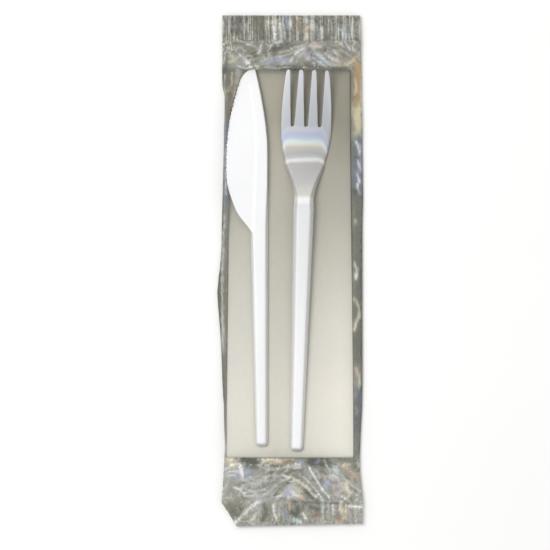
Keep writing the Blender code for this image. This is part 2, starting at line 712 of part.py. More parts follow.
def fold_corner_under(film):
    """Turns the bottom left corner over, under the pack, along a slanting crease."""
    left = film_edges(FILM_BOTTOM)[0]
    start, end = Vector((left, FILM_BOTTOM + DOG_EAR_SIDE, 0)), Vector((left + DOG_EAR_END, FILM_BOTTOM, 0))
    crease = (end - start).normalized()
    outward = Vector((crease.y, -crease.x, 0))
    front_level = SEAL_LIFT + BACK + PLY_PITCH
    axis_height = (front_level + FILM / 2 + REST_GAP) / 2
    roll = front_level - axis_height - PLY_PITCH / 2
    start -= outward * roll
    for step in range(FOLD_STEPS + 1):
        on_plane = start + outward * math.pi * roll * step / FOLD_STEPS
        every = film.verts[:] + film.edges[:] + film.faces[:]
        bmesh.ops.bisect_plane(film, geom=every, dist=1e-7, plane_co=on_plane, plane_no=outward)
    for corner in film.verts:
        past = (corner.co - start).dot(outward)
        if past > 0:
            angle = min(past / roll, math.pi)
            radius = corner.co.z - axis_height
            reach = radius * math.sin(angle) - max(past - math.pi * roll, 0.0)
            corner.co += outward * (reach - past)
            corner.co.z = axis_height + radius * math.cos(angle)


def make_film(collection):
    """The wrapper as one sheet: inner fin ply, back, front, back again and outer fin ply."""
    sections = [film_section(y) for y in film_rows()]
    fin_end = FIN_ROOT + FIN_COLUMNS
    turns = range(1, TURN_STEPS)
    path = [("inner", k) for k in range(fin_end, FIN_ROOT - 1, -1)]
    path += [("root_turn", step) for step in turns]
    path += [("back", k) for k in range(FIN_ROOT, COLUMNS + 1)]
    path += [("right_turn", step) for step in turns]
    path += [("front", k) for k in range(COLUMNS, -1, -1)]
    path += [("left_turn", step) for step in turns]
    path += [("back", k) for k in range(FIN_ROOT - 1)]
    path += [("outer", k) for k in range(FIN_ROOT - 1, fin_end + 1)]
    levels = {"inner": FIN_INNER, "back": BACK, "outer": FIN_OUTER}

    def place(column, row):
        ply, k = path[column]
        flat, front = sections[row]
        if ply == "front":
            return front[k]
        if ply in levels:
            return flat[k] + Vector((0, 0, levels[ply]))
        if ply == "root_turn":
            inner = flat[FIN_ROOT] + Vector((0, 0, FIN_INNER))
            return around_edge(inner, flat[FIN_ROOT] + Vector((0, 0, BACK)), -1, k)
        if ply == "right_turn":
            return around_edge(flat[-1] + Vector((0, 0, BACK)), front[-1], 1, k)
        return around_edge(front[0], flat[0] + Vector((0, 0, BACK)), -1, k)

    film = shaped_grid(len(path) - 1, len(sections) - 1, place)
    fold_corner_under(film)
    finish = material("film_cellophane", (0.62, 0.63, 0.60), 0.12, 0.45)
    made = new_object("film_wrapper", film, collection, finish)
    plain = made.modifiers.new("one_face_for_each_flat", "DECIMATE")
    plain.decimate_type = "DISSOLVE"
    plain.angle_limit = math.radians(0.5)
    made.modifiers.new("triangles", "TRIANGULATE")
    thicken(made, FILM)
    return made


def centre_on(film, collections):
    """Moves everything sideways, so that the origin lies under the middle of the wrapper."""
    graph = bpy.context.evaluated_depsgraph_get()
    corners = [Vector(corner) for corner in film.evaluated_get(graph).bound_box]
    middle = (Vector(map(min, zip(*corners))) + Vector(map(max, zip(*corners)))) / 2
    for collection in collections:
        for made in collection.objects:
            made.location -= Vector((middle.x, middle.y, 0))


def main():
    for old in list(bpy.data.objects):
        bpy.data.objects.remove(old)
    pack = bpy.data.collections.new("cutlery_meal_pack")
    helpers = bpy.data.collections.new("cutters")
    bpy.context.scene.collection.children.link(pack)
    bpy.context.scene.collection.children.link(helpers)
    make_napkin(pack)
    make_knife(pack, helpers)
    make_fork(pack, helpers)
    film = make_film(pack)
    centre_on(film, (pack, helpers))


main()
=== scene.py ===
import math
import random

import bmesh
import bpy
import numpy as np
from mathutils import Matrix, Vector
from mathutils.bvhtree import BVHTree


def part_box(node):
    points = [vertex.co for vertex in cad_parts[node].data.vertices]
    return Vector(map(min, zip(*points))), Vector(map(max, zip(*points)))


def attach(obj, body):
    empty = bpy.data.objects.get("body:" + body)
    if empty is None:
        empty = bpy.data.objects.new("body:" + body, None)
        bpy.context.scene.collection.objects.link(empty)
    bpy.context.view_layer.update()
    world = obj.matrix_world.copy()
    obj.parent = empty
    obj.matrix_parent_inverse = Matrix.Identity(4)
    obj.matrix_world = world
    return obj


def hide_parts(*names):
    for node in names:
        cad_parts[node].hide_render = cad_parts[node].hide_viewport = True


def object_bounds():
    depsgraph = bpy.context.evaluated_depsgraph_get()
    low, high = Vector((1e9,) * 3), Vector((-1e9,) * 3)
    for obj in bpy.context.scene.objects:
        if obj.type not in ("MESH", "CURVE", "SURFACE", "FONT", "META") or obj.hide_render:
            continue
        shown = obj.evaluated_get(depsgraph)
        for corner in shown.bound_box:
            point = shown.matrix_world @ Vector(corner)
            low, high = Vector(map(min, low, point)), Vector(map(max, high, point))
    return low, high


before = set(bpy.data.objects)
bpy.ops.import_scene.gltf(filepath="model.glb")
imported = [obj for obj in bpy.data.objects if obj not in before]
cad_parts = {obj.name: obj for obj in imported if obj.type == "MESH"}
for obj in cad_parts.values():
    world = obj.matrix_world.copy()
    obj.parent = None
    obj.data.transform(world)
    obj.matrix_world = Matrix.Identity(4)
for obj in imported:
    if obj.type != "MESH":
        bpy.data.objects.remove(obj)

cad_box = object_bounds()
MM = 0.001

# The room: a pale bench top under soft light, seen from straight above. The bench stays white to the
# camera and still takes the pack's shadow.
VIEW_CENTRE = (-6.45 * MM, -1.69 * MM)
VIEW_SIDE = 236.5 * MM
LENS = 300.0
SENSOR = 36.0
SKY_LEVEL = 0.67
LAMP_POWER = 7.4
LAMP_SIZE = 0.55
LAMP_PLACE = Vector((-0.48, 0.30, 1.10))
BENCH_SIZE = 6.0
BENCH_GAP = 0.05 * MM
BENCH_GLOW = 0.06


def linear(seen):
    """Levels as the eye sees them, from 0 to 255, as the linear values that a shader takes."""
    seen = np.asarray(seen) / 255
    return np.where(seen <= 0.04045, seen / 12.92, ((np.maximum(seen, 0) + 0.055) / 1.055) ** 2.4)


def shade(red, green, blue):
    """A shader's colour, given as the eye sees it."""
    return (*linear((red, green, blue)).tolist(), 1.0)


def add(tree, kind, inputs=(), **settings):
    """A shader node with its settings; an input given as another node's socket is linked to it."""
    made = tree.nodes.new("ShaderNode" + kind)
    for name, value in settings.items():
        setattr(made, name, value)
    for name, value in dict(inputs).items():
        if isinstance(value, bpy.types.NodeSocket):
            tree.links.new(value, made.inputs[name])
        else:
            made.inputs[name].default_value = value
    return made


def reckon(tree, operation, *values):
    """The socket of a sum, a product or another operation on numbers and sockets."""
    return add(tree, "Math", dict(enumerate(values)), operation=operation).outputs[0]


def new_finish(name):
    """An empty material, with its node tree and its output node."""
    made = bpy.data.materials.new(name)
    made.use_nodes = True
    made.node_tree.nodes.clear()
    return made, made.node_tree, made.node_tree.nodes.new("ShaderNodeOutputMaterial")


def ramp(tree, factor, stops):
    """A colour ramp through (place, colour) stops, read at factor."""
    made = add(tree, "ValToRGB", {"Fac": factor})
    elements = made.color_ramp.elements
    while len(elements) < len(stops):
        elements.new(0.5)
    for element, (place, colour) in zip(elements, stops):
        element.position = place
        element.color = colour
    return made.outputs["Color"]


def bench_finish():
    """White laminate that glows a little to the eye, so that it reads as white paper does."""
    made, tree, output = new_finish("bench_white")
    grain = add(tree, "TexNoise", {"Scale": 40.0, "Detail": 4.0})
    colour = ramp(tree, grain.outputs["Fac"], [(0.0, shade(241, 241, 240)), (1.0, shade(247, 247, 246))])
    surface = add(tree, "BsdfDiffuse", {"Color": colour})
    path = add(tree, "LightPath").outputs
    seen = reckon(tree, "ADD", path["Is Camera Ray"], path["Is Glossy Ray"])
    seen = reckon(tree, "ADD", seen, path["Is Transmission Ray"])
    glow = add(tree, "Emission", {"Strength": reckon(tree, "MULTIPLY", seen, BENCH_GLOW)})
    both = add(tree, "AddShader", {0: surface.outputs[0], 1: glow.outputs[0]})
    tree.links.new(both.outputs[0], output.inputs["Surface"])
    return made


bpy.ops.mesh.primitive_plane_add(size=BENCH_SIZE, location=(0.0, 0.0, cad_box[0][2] - BENCH_GAP))
bench = bpy.context.object
bench.name = "bench"
bench.data.materials.append(bench_finish())

sky = bpy.data.worlds.new("soft_sky")
bpy.context.scene.world = sky
sky.use_nodes = True
sky.node_tree.nodes["Background"].inputs["Color"].default_value = (1.0, 1.0, 1.0, 1.0)
sky.node_tree.nodes["Background"].inputs["Strength"].default_value = SKY_LEVEL

lamp = bpy.data.objects.new("lamp", bpy.data.lights.new("lamp", "AREA"))
lamp.data.energy = LAMP_POWER
lamp.data.size = LAMP_SIZE
lamp.location = LAMP_PLACE
lamp.rotation_euler = (-LAMP_PLACE).to_track_quat("-Z", "Y").to_euler()
bpy.context.collection.objects.link(lamp)

camera = bpy.data.objects.new("camera", bpy.data.cameras.new("camera"))
camera.data.lens = LENS
camera.data.sensor_width = SENSOR
camera.location = (*VIEW_CENTRE, VIEW_SIDE * LENS / SENSOR)
camera.data.clip_end = 20.0
bpy.context.collection.objects.link(camera)
bpy.context.scene.camera = camera
bpy.context.scene.view_settings.view_transform = "Standard"


# Napkin: one square of thin tissue, 330 mm a side, folded in half and then pleated in six. Its twelve
# plies lie loosely on each other, so its folded sides are soft and its open end shows every edge.
PLEATS = 6
PLEAT_COLUMNS = 34
TURN_STEPS = 6
NAPKIN_ROW = 1.5 * MM
TISSUE = 0.10 * MM
NAPKIN_WAVE = 0.15 * MM
NAPKIN_EDGE_DROP = 0.15 * MM
NAPKIN_EDGE_REACH = 3.0 * MM
PLY_STRAY = 0.45 * MM
STRAY_REACH = 12.0 * MM

# Its colour from the open end to the fold, with painted shade darker towards the tines, and the painted
# shade that changes it from left to right at either end, darker between the handles and beside the fork.
NAPKIN_TONE_AND_SHADE_ALONG = [
    (0.00, shade(239, 236, 226)), (0.14, shade(241, 237, 227)), (0.25, shade(233, 229, 221)),
    (0.40, shade(221, 218, 208)), (0.52, shade(209, 206, 195)), (0.63, shade(198, 194, 183)),
    (0.75, shade(190, 186, 174)), (0.87, shade(172, 169, 154)), (0.95, shade(180, 176, 161)),
    (1.00, shade(182, 178, 163)),
]
NAPKIN_SHADE_ACROSS_LOW = [
    (0.0, shade(243, 243, 242)), (0.25, shade(244, 244, 242)), (0.40, shade(235, 236, 232)),
    (0.60, shade(242, 242, 241)), (0.89, shade(255, 255, 254)), (1.0, shade(250, 250, 249)),
]
NAPKIN_SHADE_ACROSS_HIGH = [
    (0.0, shade(249, 249, 248)), (0.40, shade(255, 255, 254)), (0.70, shade(240, 240, 239)),
    (0.89, shade(228, 228, 227)), (1.0, shade(228, 228, 227)),
]
NAPKIN_LOW_UP_TO = -30.0 * MM
NAPKIN_HIGH_FROM = 69.0 * MM

napkin_low, napkin_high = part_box("napkin")
napkin_corners = [v.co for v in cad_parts["napkin"].data.vertices]
NAPKIN_HALF_LOW = max(v.x for v in napkin_corners if v.y < napkin_low.y + 1 * MM)
NAPKIN_HALF_HIGH = max(v.x for v in napkin_corners if v.y > napkin_high.y - 1 * MM)


def ease(t):
    """A smooth step from 0 to 1 as t goes from 0 to 1, for numbers and arrays."""
    t = np.clip(t, 0.0, 1.0)
    return t * t * (3 - 2 * t)


def sheet_from_grid(name, places, finish):
    """A sheet through a grid of places, rows by columns; its face is up where columns run along X."""
    rows, columns = places.shape[:2]
    number = np.arange(rows * columns).reshape(rows, columns)
    corners = [number[:-1, :-1], number[:-1, 1:], number[1:, 1:], number[1:, :-1]]
    faces = np.stack(corners, axis=-1).reshape(-1, 4)
    mesh = bpy.data.meshes.new(name)
    mesh.from_pydata(places.reshape(-1, 3).tolist(), [], faces.tolist())
    mesh.shade_smooth()
    mesh.materials.append(finish)
    made = bpy.data.objects.new(name, mesh)
    bpy.context.collection.objects.link(made)
    return made


def waves(x, y, size, seed):
    """Smooth noise of about -1 to 1 at every place, with bumps of about that size."""
    cells = 64
    turns = np.random.default_rng(seed).random((cells, cells)) * 2 * math.pi
    across, along = np.asarray(x) / size, np.asarray(y) / size
    column, row = np.floor(across).astype(int), np.floor(along).astype(int)
    right, up = across - column, along - row

    def pull(i, j):
        turn = turns[(column + i) % cells, (row + j) % cells]
        return np.cos(turn) * (right - i) + np.sin(turn) * (up - j)

    across_share, along_share = (t**3 * (t * (6 * t - 15) + 10) for t in (right, up))
    low = pull(0, 0) + (pull(1, 0) - pull(0, 0)) * across_share
    high = pull(0, 1) + (pull(1, 1) - pull(0, 1)) * across_share
    return (low + (high - low) * along_share) * 1.7


def napkin_section(pitch):
    """The six pleats seen end on: each column's x and height, and the way out of the sheet there."""
    panel = NAPKIN_HALF_LOW - 1.5 * pitch - TISSUE / 2
    first = napkin_low.z + TISSUE / 2 + pitch / 2
    stray = random.Random(4)
    section = []
    for pleat in range(PLEATS):
        way = 1 if pleat % 2 == 0 else -1
        level = first + 2 * pitch * pleat
        shares = np.sin(np.linspace(-1, 1, PLEAT_COLUMNS + 1) * math.pi / 2)
        section += [(way * panel * share, level, 0.0, way) for share in shares]
        bulge = stray.uniform(0.5, 2.6)
        for step in range(1, TURN_STEPS if pleat < PLEATS - 1 else 1):
            angle = math.pi * step / TURN_STEPS
            x = way * (panel + pitch * math.sin(angle) * bulge)
            z = level + pitch * (1 - math.cos(angle))
            section.append((x, z, -way * math.sin(angle), way * math.cos(angle)))
    return np.array(section)


def napkin_run(pitch):
    """The way along the doubled sheet, up one half and down the other: y, and how far out it lies."""
    fold = napkin_high.y - pitch / 2 - TISSUE / 2
    count = math.ceil((fold - napkin_low.y) / NAPKIN_ROW)
    straight = [(napkin_low.y + (fold - napkin_low.y) * n / count, pitch / 2) for n in range(count + 1)]
    turn = [math.pi * step / TURN_STEPS for step in range(1, TURN_STEPS)]
    around = [(fold + pitch / 2 * math.sin(a), pitch / 2 * math.cos(a)) for a in turn]
    return np.array(straight + around + [(y, -out) for y, out in reversed(straight)])


def napkin_places():
    """Every corner of the folded square, ply by ply, within the outline of the napkin in the frame."""
    low, high = napkin_low, napkin_high
    pitch = (high.z - low.z - TISSUE) / (2 * PLEATS - 1)
    section, run = napkin_section(pitch), napkin_run(pitch)
    y, out = run[:, :1], run[:, 1:]
    share_up = ease((y - low.y) / (high.y - low.y))
    narrowing = (NAPKIN_HALF_LOW + (NAPKIN_HALF_HIGH - NAPKIN_HALF_LOW) * share_up) / NAPKIN_HALF_LOW
    x = (section[:, 0] + section[:, 2] * out) * narrowing
    z = section[:, 1] + section[:, 3] * out
    y = np.broadcast_to(y, x.shape)
    ply = 2.0 * np.arange(PLEATS).repeat(PLEAT_COLUMNS + TURN_STEPS)[: x.shape[1]] + (out > 0)
    stray = PLY_STRAY * (0.5 + 0.5 * np.sin(2.7 * ply + 0.4)) * ease(1 - (y - low.y) / STRAY_REACH)
    rim = np.minimum(NAPKIN_HALF_LOW - np.abs(x), np.minimum(y - low.y, high.y - y))
    rise = NAPKIN_WAVE * (waves(x, y, 21 * MM, 3) * 0.7 + waves(x, y, 7 * MM, 8) * 0.35)
    rise = rise - NAPKIN_EDGE_DROP * (1 - ease(rim / NAPKIN_EDGE_REACH))
    share = (z - low.z) / (high.z - low.z)
    return np.stack([x, y + stray, z + np.minimum(rise, NAPKIN_WAVE) * share], axis=-1)


def tinted(tree, colour, tint, share=1.0):
    """A colour multiplied by a tint, in full or by a share."""
    made = add(tree, "MixRGB", {"Fac": share, "Color1": colour, "Color2": tint}, blend_type="MULTIPLY")
    return made.outputs[0]


def napkin_finish():
    """Off-white tissue with painted shade: pale where it lies near the pack's face, darker towards the
    tines.
    """
    made, tree, output = new_finish("napkin_tissue")
    low, high = napkin_low, napkin_high
    place = add(tree, "TexCoord").outputs["Object"]
    split = add(tree, "SeparateXYZ", {0: place}).outputs
    mottle = add(tree, "TexNoise", {"Vector": place, "Scale": 70.0, "Detail": 3.0})
    drift = reckon(tree, "MULTIPLY_ADD", mottle.outputs["Fac"], 12 * MM, -6 * MM)
    along = reckon(tree, "ADD", split["Y"], drift)
    share = add(tree, "MapRange", {"Value": along, "From Min": low.y, "From Max": high.y})
    across = add(tree, "MapRange", {"Value": split["X"], "From Min": low.x, "From Max": high.x})
    up = add(
        tree, "MapRange",
        {"Value": split["Y"], "From Min": NAPKIN_LOW_UP_TO, "From Max": NAPKIN_HIGH_FROM},
        interpolation_type="SMOOTHSTEP",
    )
    # Painted shade from left to right, blended from the open end's to the fold's.
    side = add(tree, "MixRGB", {
        "Fac": up.outputs[0],
        "Color1": ramp(tree, across.outputs[0], NAPKIN_SHADE_ACROSS_LOW),
        "Color2": ramp(tree, across.outputs[0], NAPKIN_SHADE_ACROSS_HIGH),
    })
    colour = tinted(tree, ramp(tree, share.outputs[0], NAPKIN_TONE_AND_SHADE_ALONG), side.outputs[0])
    fibres = add(tree, "TexNoise", {"Vector": place, "Scale": 900.0, "Detail": 5.0, "Roughness": 0.7})
    flecks = ramp(tree, fibres.outputs["Fac"], [(0.3, (0.93, 0.93, 0.92, 1)), (0.7, (1.0, 1.0, 1.0, 1))])
    stretch = add(tree, "Mapping", {"Vector": place, "Scale": (1.0, 0.35, 1.0)})
    crepe = add(tree, "TexNoise", {"Vector": stretch.outputs[0], "Scale": 1500.0, "Detail": 3.0})
    bump = add(tree, "Bump", {"Height": crepe.outputs["Fac"], "Strength": 0.35, "Distance": 0.08 * MM})
    surface = add(tree, "BsdfPrincipled", {
        "Base Color": tinted(tree, colour, flecks, 0.8), "Roughness": 0.95, "Specular IOR Level": 0.15,
        "Sheen Weight": 0.15, "Normal": bump.outputs[0],
    })
    tree.links.new(surface.outputs[0], output.inputs["Surface"])
    return made


napkin = sheet_from_grid("folded_napkin", napkin_places(), napkin_finish())
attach(napkin, "root")
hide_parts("napkin")


# Knife: one moulding in white polystyrene. A thin-walled channel makes the handle and runs on as the
# blade's spine, and every edge has the small radius that the mould gives it.
VOXEL = 0.26 * MM
EDGE_ROUNDS = 2
HANDLE_ROUNDS = 34
KNIFE_HANDLE_TOP = 0.0 * MM
KNIFE_WHITE = shade(249, 250, 251)
KNIFE_SHADE = shade(246, 247, 248)
KNIFE_ROUGHNESS = 0.30


def settle(made):
    """Makes what an object's modifiers give its own mesh."""
    graph = bpy.context.evaluated_depsgraph_get()
    made.data = bpy.data.meshes.new_from_object(made.evaluated_get(graph))
    made.modifiers.clear()


def moulded(node, name, finish, handle_top):
    """A moulding in the form of a node of the frame, with small radii, and larger ones on its handle."""
    form = bmesh.new()
    form.from_mesh(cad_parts[node].data)
    bmesh.ops.remove_doubles(form, verts=form.verts, dist=1e-7)
    mesh = bpy.data.meshes.new(name)
    form.to_mesh(mesh)
    form.free()
    made = bpy.data.objects.new(name, mesh)
    bpy.context.collection.objects.link(made)
    remesh = made.modifiers.new("even_skin", "REMESH")
    remesh.mode = "VOXEL"
    remesh.voxel_size = VOXEL
    settle(made)
    handle = made.vertex_groups.new(name="handle")
    handle.add([v.index for v in made.data.vertices if v.co.y < handle_top], 1.0, "REPLACE")
    for rounds, group in ((EDGE_ROUNDS, ""), (HANDLE_ROUNDS, "handle")):
        soften = made.modifiers.new("mould_radius", "SMOOTH")
        soften.factor = 0.5
        soften.iterations = rounds
        soften.vertex_group = group
    settle(made)
    made.data.shade_smooth()
    made.data.materials.clear()
    made.data.materials.append(finish)
    return made


def plastic(tree, place, colour, roughness):
    """White plastic with a faint orange peel and flow marks, and painted shade that greys its steep
    walls.
    """
    stretch = add(tree, "Mapping", {"Vector": place, "Scale": (1.0, 0.08, 1.0)})
    flow = add(tree, "TexNoise", {"Vector": stretch.outputs[0], "Scale": 260.0, "Detail": 4.0})
    rough = add(tree, "MapRange", {
        "Value": flow.outputs["Fac"], "To Min": roughness - 0.07, "To Max": roughness + 0.09,
    })
    peel = add(tree, "TexNoise", {"Vector": place, "Scale": 700.0, "Detail": 2.0})
    bump = add(tree, "Bump", {"Height": peel.outputs["Fac"], "Strength": 0.12, "Distance": 0.05 * MM})
    # Painted shade: the more steeply a face stands, the greyer it is drawn.
    facing = add(tree, "SeparateXYZ", {0: add(tree, "TexCoord").outputs["Normal"]}).outputs["Z"]
    wall = ramp(tree, facing, [(0.15, shade(205, 206, 204)), (0.80, shade(255, 255, 255))])
    return add(tree, "BsdfPrincipled", {
        "Base Color": tinted(tree, colour, wall), "Roughness": rough.outputs[0],
        "Subsurface Weight": 0.08, "Subsurface Scale": 1.0 * MM, "Coat Weight": 0.15,
        "Normal": bump.outputs[0],
    })


def knife_finish():
    """Nearly pure white, a touch greyer in some places than in others."""
    made, tree, output = new_finish("knife_polystyrene")
    place = add(tree, "TexCoord").outputs["Object"]
    cloud = add(tree, "TexNoise", {"Vector": place, "Scale": 45.0, "Detail": 3.0})
    colour = ramp(tree, cloud.outputs["Fac"], [(0.3, KNIFE_SHADE), (0.7, KNIFE_WHITE)])
    surface = plastic(tree, place, colour, KNIFE_ROUGHNESS)
    tree.links.new(surface.outputs[0], output.inputs["Surface"])
    return made


knife = moulded("knife", "white_knife", knife_finish(), KNIFE_HANDLE_TOP)
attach(knife, "root")
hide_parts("knife")


# Fork: one moulding in the same plastic, its four tines raked up, its bowl dished and its neck swept up
# into the handle. Bands of painted highlight, pastel reflection and shade lie across it.
FORK_HANDLE_TOP = 26.0 * MM
FORK_MIDDLE = 6.0 * MM
FORK_ROUGHNESS = 0.24

# Painted shade darkens its head from its left to its right, fully from HEAD_FULL upwards.
HEAD_FROM = 36.0 * MM
HEAD_FULL = 44.0 * MM
HEAD_LEFT = -10.0 * MM
HEAD_RIGHT = 12.0 * MM
HEAD_SHADE = shade(226, 227, 228)
BAND_HALF = 7.8 * MM
BAND_DROP = 0.7 * MM
BAND_BOW = 8.0
BAND_SWAY = 1.0 * MM

# Painted highlights and shade from the tines' tips to the handle's end: the place in mm and the colour
# there.
FORK_PAINTED_LIGHT_BANDS = [
    (87.0, shade(230, 232, 236)), (73.0, shade(208, 210, 214)), (63.0, shade(197, 200, 204)),
    (60.8, shade(208, 210, 220)), (58.6, shade(192, 197, 222)), (56.9, shade(200, 212, 228)),
    (55.6, shade(226, 239, 239)), (54.5, shade(230, 228, 212)), (53.2, shade(204, 200, 192)),
    (50.6, shade(188, 186, 184)), (48.9, shade(196, 201, 207)), (48.0, shade(240, 240, 233)),
    (47.2, shade(236, 235, 230)), (46.2, shade(194, 192, 190)), (38.0, shade(196, 195, 193)),
    (32.6, shade(212, 212, 206)), (31.2, shade(246, 246, 243)), (29.6, shade(244, 245, 244)),
    (28.6, shade(230, 232, 234)), (0.0, shade(237, 238, 239)), (-40.0, shade(250, 250, 251)),
    (-76.0, shade(252, 252, 253)),
]


def fork_finish():
    """White plastic with bands of painted highlight, pastel reflection and shade across the head and
    handle.
    """
    made, tree, output = new_finish("fork_polystyrene")
    place = add(tree, "TexCoord").outputs["Object"]
    split = add(tree, "SeparateXYZ", {0: place}).outputs
    cloud = add(tree, "TexNoise", {"Vector": place, "Scale": 130.0, "Detail": 2.0})
    sway = reckon(tree, "MULTIPLY_ADD", cloud.outputs["Fac"], 2 * BAND_SWAY, -BAND_SWAY)
    aside = reckon(tree, "SUBTRACT", split["X"], FORK_MIDDLE)
    bow = reckon(tree, "POWER", reckon(tree, "DIVIDE", aside, BAND_HALF), BAND_BOW)
    along = reckon(tree, "MULTIPLY_ADD", bow, BAND_DROP, reckon(tree, "ADD", split["Y"], sway))
    top, end = FORK_PAINTED_LIGHT_BANDS[0][0], FORK_PAINTED_LIGHT_BANDS[-1][0]
    share = add(tree, "MapRange", {"Value": along, "From Min": top * MM, "From Max": end * MM})
    # The bands of painted highlight, pastel reflection and shade.
    bands = [((top - at) / (top - end), colour) for at, colour in FORK_PAINTED_LIGHT_BANDS]
    # Painted shade across the head, darker towards its right.
    across = add(tree, "MapRange", {"Value": aside, "From Min": HEAD_LEFT, "From Max": HEAD_RIGHT})
    side = ramp(tree, across.outputs[0], [(0.0, shade(255, 255, 255)), (1.0, HEAD_SHADE)])
    head = add(tree, "MapRange", {"Value": split["Y"], "From Min": HEAD_FROM, "From Max": HEAD_FULL})
    colour = tinted(tree, ramp(tree, share.outputs[0], bands), side, head.outputs[0])
    surface = plastic(tree, place, colour, FORK_ROUGHNESS)
    tree.links.new(surface.outputs[0], output.inputs["Surface"])
    return made


fork = moulded("fork", "white_fork", fork_finish(), FORK_HANDLE_TOP)
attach(fork, "root")
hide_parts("fork")


# Film wrapper: one sheet of thin clear film, wound round the rest from the inner fin ply over the back,
# the front and the back again to the outer fin ply, then crimped across both ends. It is crumpled
# between the seals and the contents, and its bottom left corner is folded under.
FILM = 0.08 * MM
FILM_INSET = 0.02 * MM
OUTSIDE_PACK = 40.0 * MM

# Its grid: columns over the front, one in three of them behind, and rows closest together at the ends.
COLUMNS = 225
BACK_STRIDE = 3
FIN_FROM = 93
FIN_TO = 132
FIN_STEP = 81
END_ROW = 0.40 * MM
MIDDLE_ROW = 1.3 * MM
EDGE_STEPS = 5

# Its plies and side folds, the seals, and the crumpled tails between the seals and the contents.
PLY_PITCH = 0.24 * MM
SIDE_FOLD = 0.5 * MM
TOP_SEAL = 11.3 * MM
BOTTOM_SEAL = 10.2 * MM
TOP_TAIL = 11.4 * MM
BOTTOM_TAIL = 19.4 * MM
BOTTOM_SLANT = 1.3 * MM
SEAL_LEVEL = 2.3 * MM
HALF_SEAL_GAP = 0.05 * MM
LEAST_GAP = 0.09 * MM

# The corner that is folded under: how much of the side and of the end it takes, and how it rolls over.
DOG_EAR_SIDE = 10.3 * MM
DOG_EAR_END = 6.2 * MM
DOG_EAR_ROLL = 0.55 * MM
DOG_EAR_AXIS = 1.55 * MM

# How high its crimps, folds and creases stand, and where it lies loose or sealed.
RIDGE_PITCH = 1.5 * MM
RIDGE_HEIGHT = 0.11 * MM
WIDE_FOLD_HEIGHT = 0.30 * MM
FINE_FOLD_HEIGHT = 0.13 * MM
PULL_HEIGHT = 0.12 * MM
CREASE_HEIGHT = 0.16 * MM
EDGE_OF_CONTENTS = 0.3 * MM
LOOSE_FROM_X = 19.0 * MM
LOOSE_FROM_Y = 56.0 * MM
TAIL_FADE = 1.0 * MM
SEAL_FADE = 0.8 * MM
PLAIN_EDGE = 3.5 * MM

# How grey it looks, from 0 to 255, at its top and its bottom end. How much darker it is than that at its
# left and its right, and in its top and its bottom crimp. How much of it hides what lies behind it.
ENDS_LEVEL = (148, 162)
MARGIN_DARKER = (28, 13)
CRIMP_DARKER = (26, 6)
TAUT_ALPHA = 0.05
BACK_ALPHA = 0.30
FRONT_ALPHA = 0.88

# How far the film's edges are drawn in from the solid's, both in mm, at places from the bottom up.
LEFT_DRAWN_IN = [
    (-110, 0.1), (-98, 0.2), (-90, 0.7), (-81, 1.45), (-76, 1.7), (-70, 1.55), (-62, 0.95), (-54, 0.55),
    (-46, 0.42), (-13, 0.4), (-9, 0.0), (-5.5, 0.2), (1, 0.5), (12, 0.5), (18, 0.43), (62, 0.5),
    (70, 0.82), (75, 0.9), (79.5, 0.1), (90, 0.25), (98, 0.05), (110, 0.0),
]
RIGHT_DRAWN_IN = [(-110, 0.1), (-90, 0.0), (60, 0.0), (70, 0.15), (90, 0.4), (110, 0.4)]

# The tints of its glints and shadows, as the eye sees them.
FILM_TINTS = {
    "dark": (72, 75, 64), "olive": (100, 102, 82), "silver": (202, 202, 198), "white": (252, 253, 252),
    "lavender": (184, 188, 217), "blue": (160, 172, 205), "cyan": (206, 225, 230),
    "cream": (231, 224, 196), "peach": (220, 194, 166), "pink": (212, 199, 199), "brown": (136, 116, 96),
    "ash": (112, 113, 102), "slate": (104, 113, 126), "straw": (220, 212, 174), "tan": (184, 154, 108),
}

# A crease in a tint whose three levels come to more than this stands up, and a darker one is pressed in.
LIGHT_TINT = 480
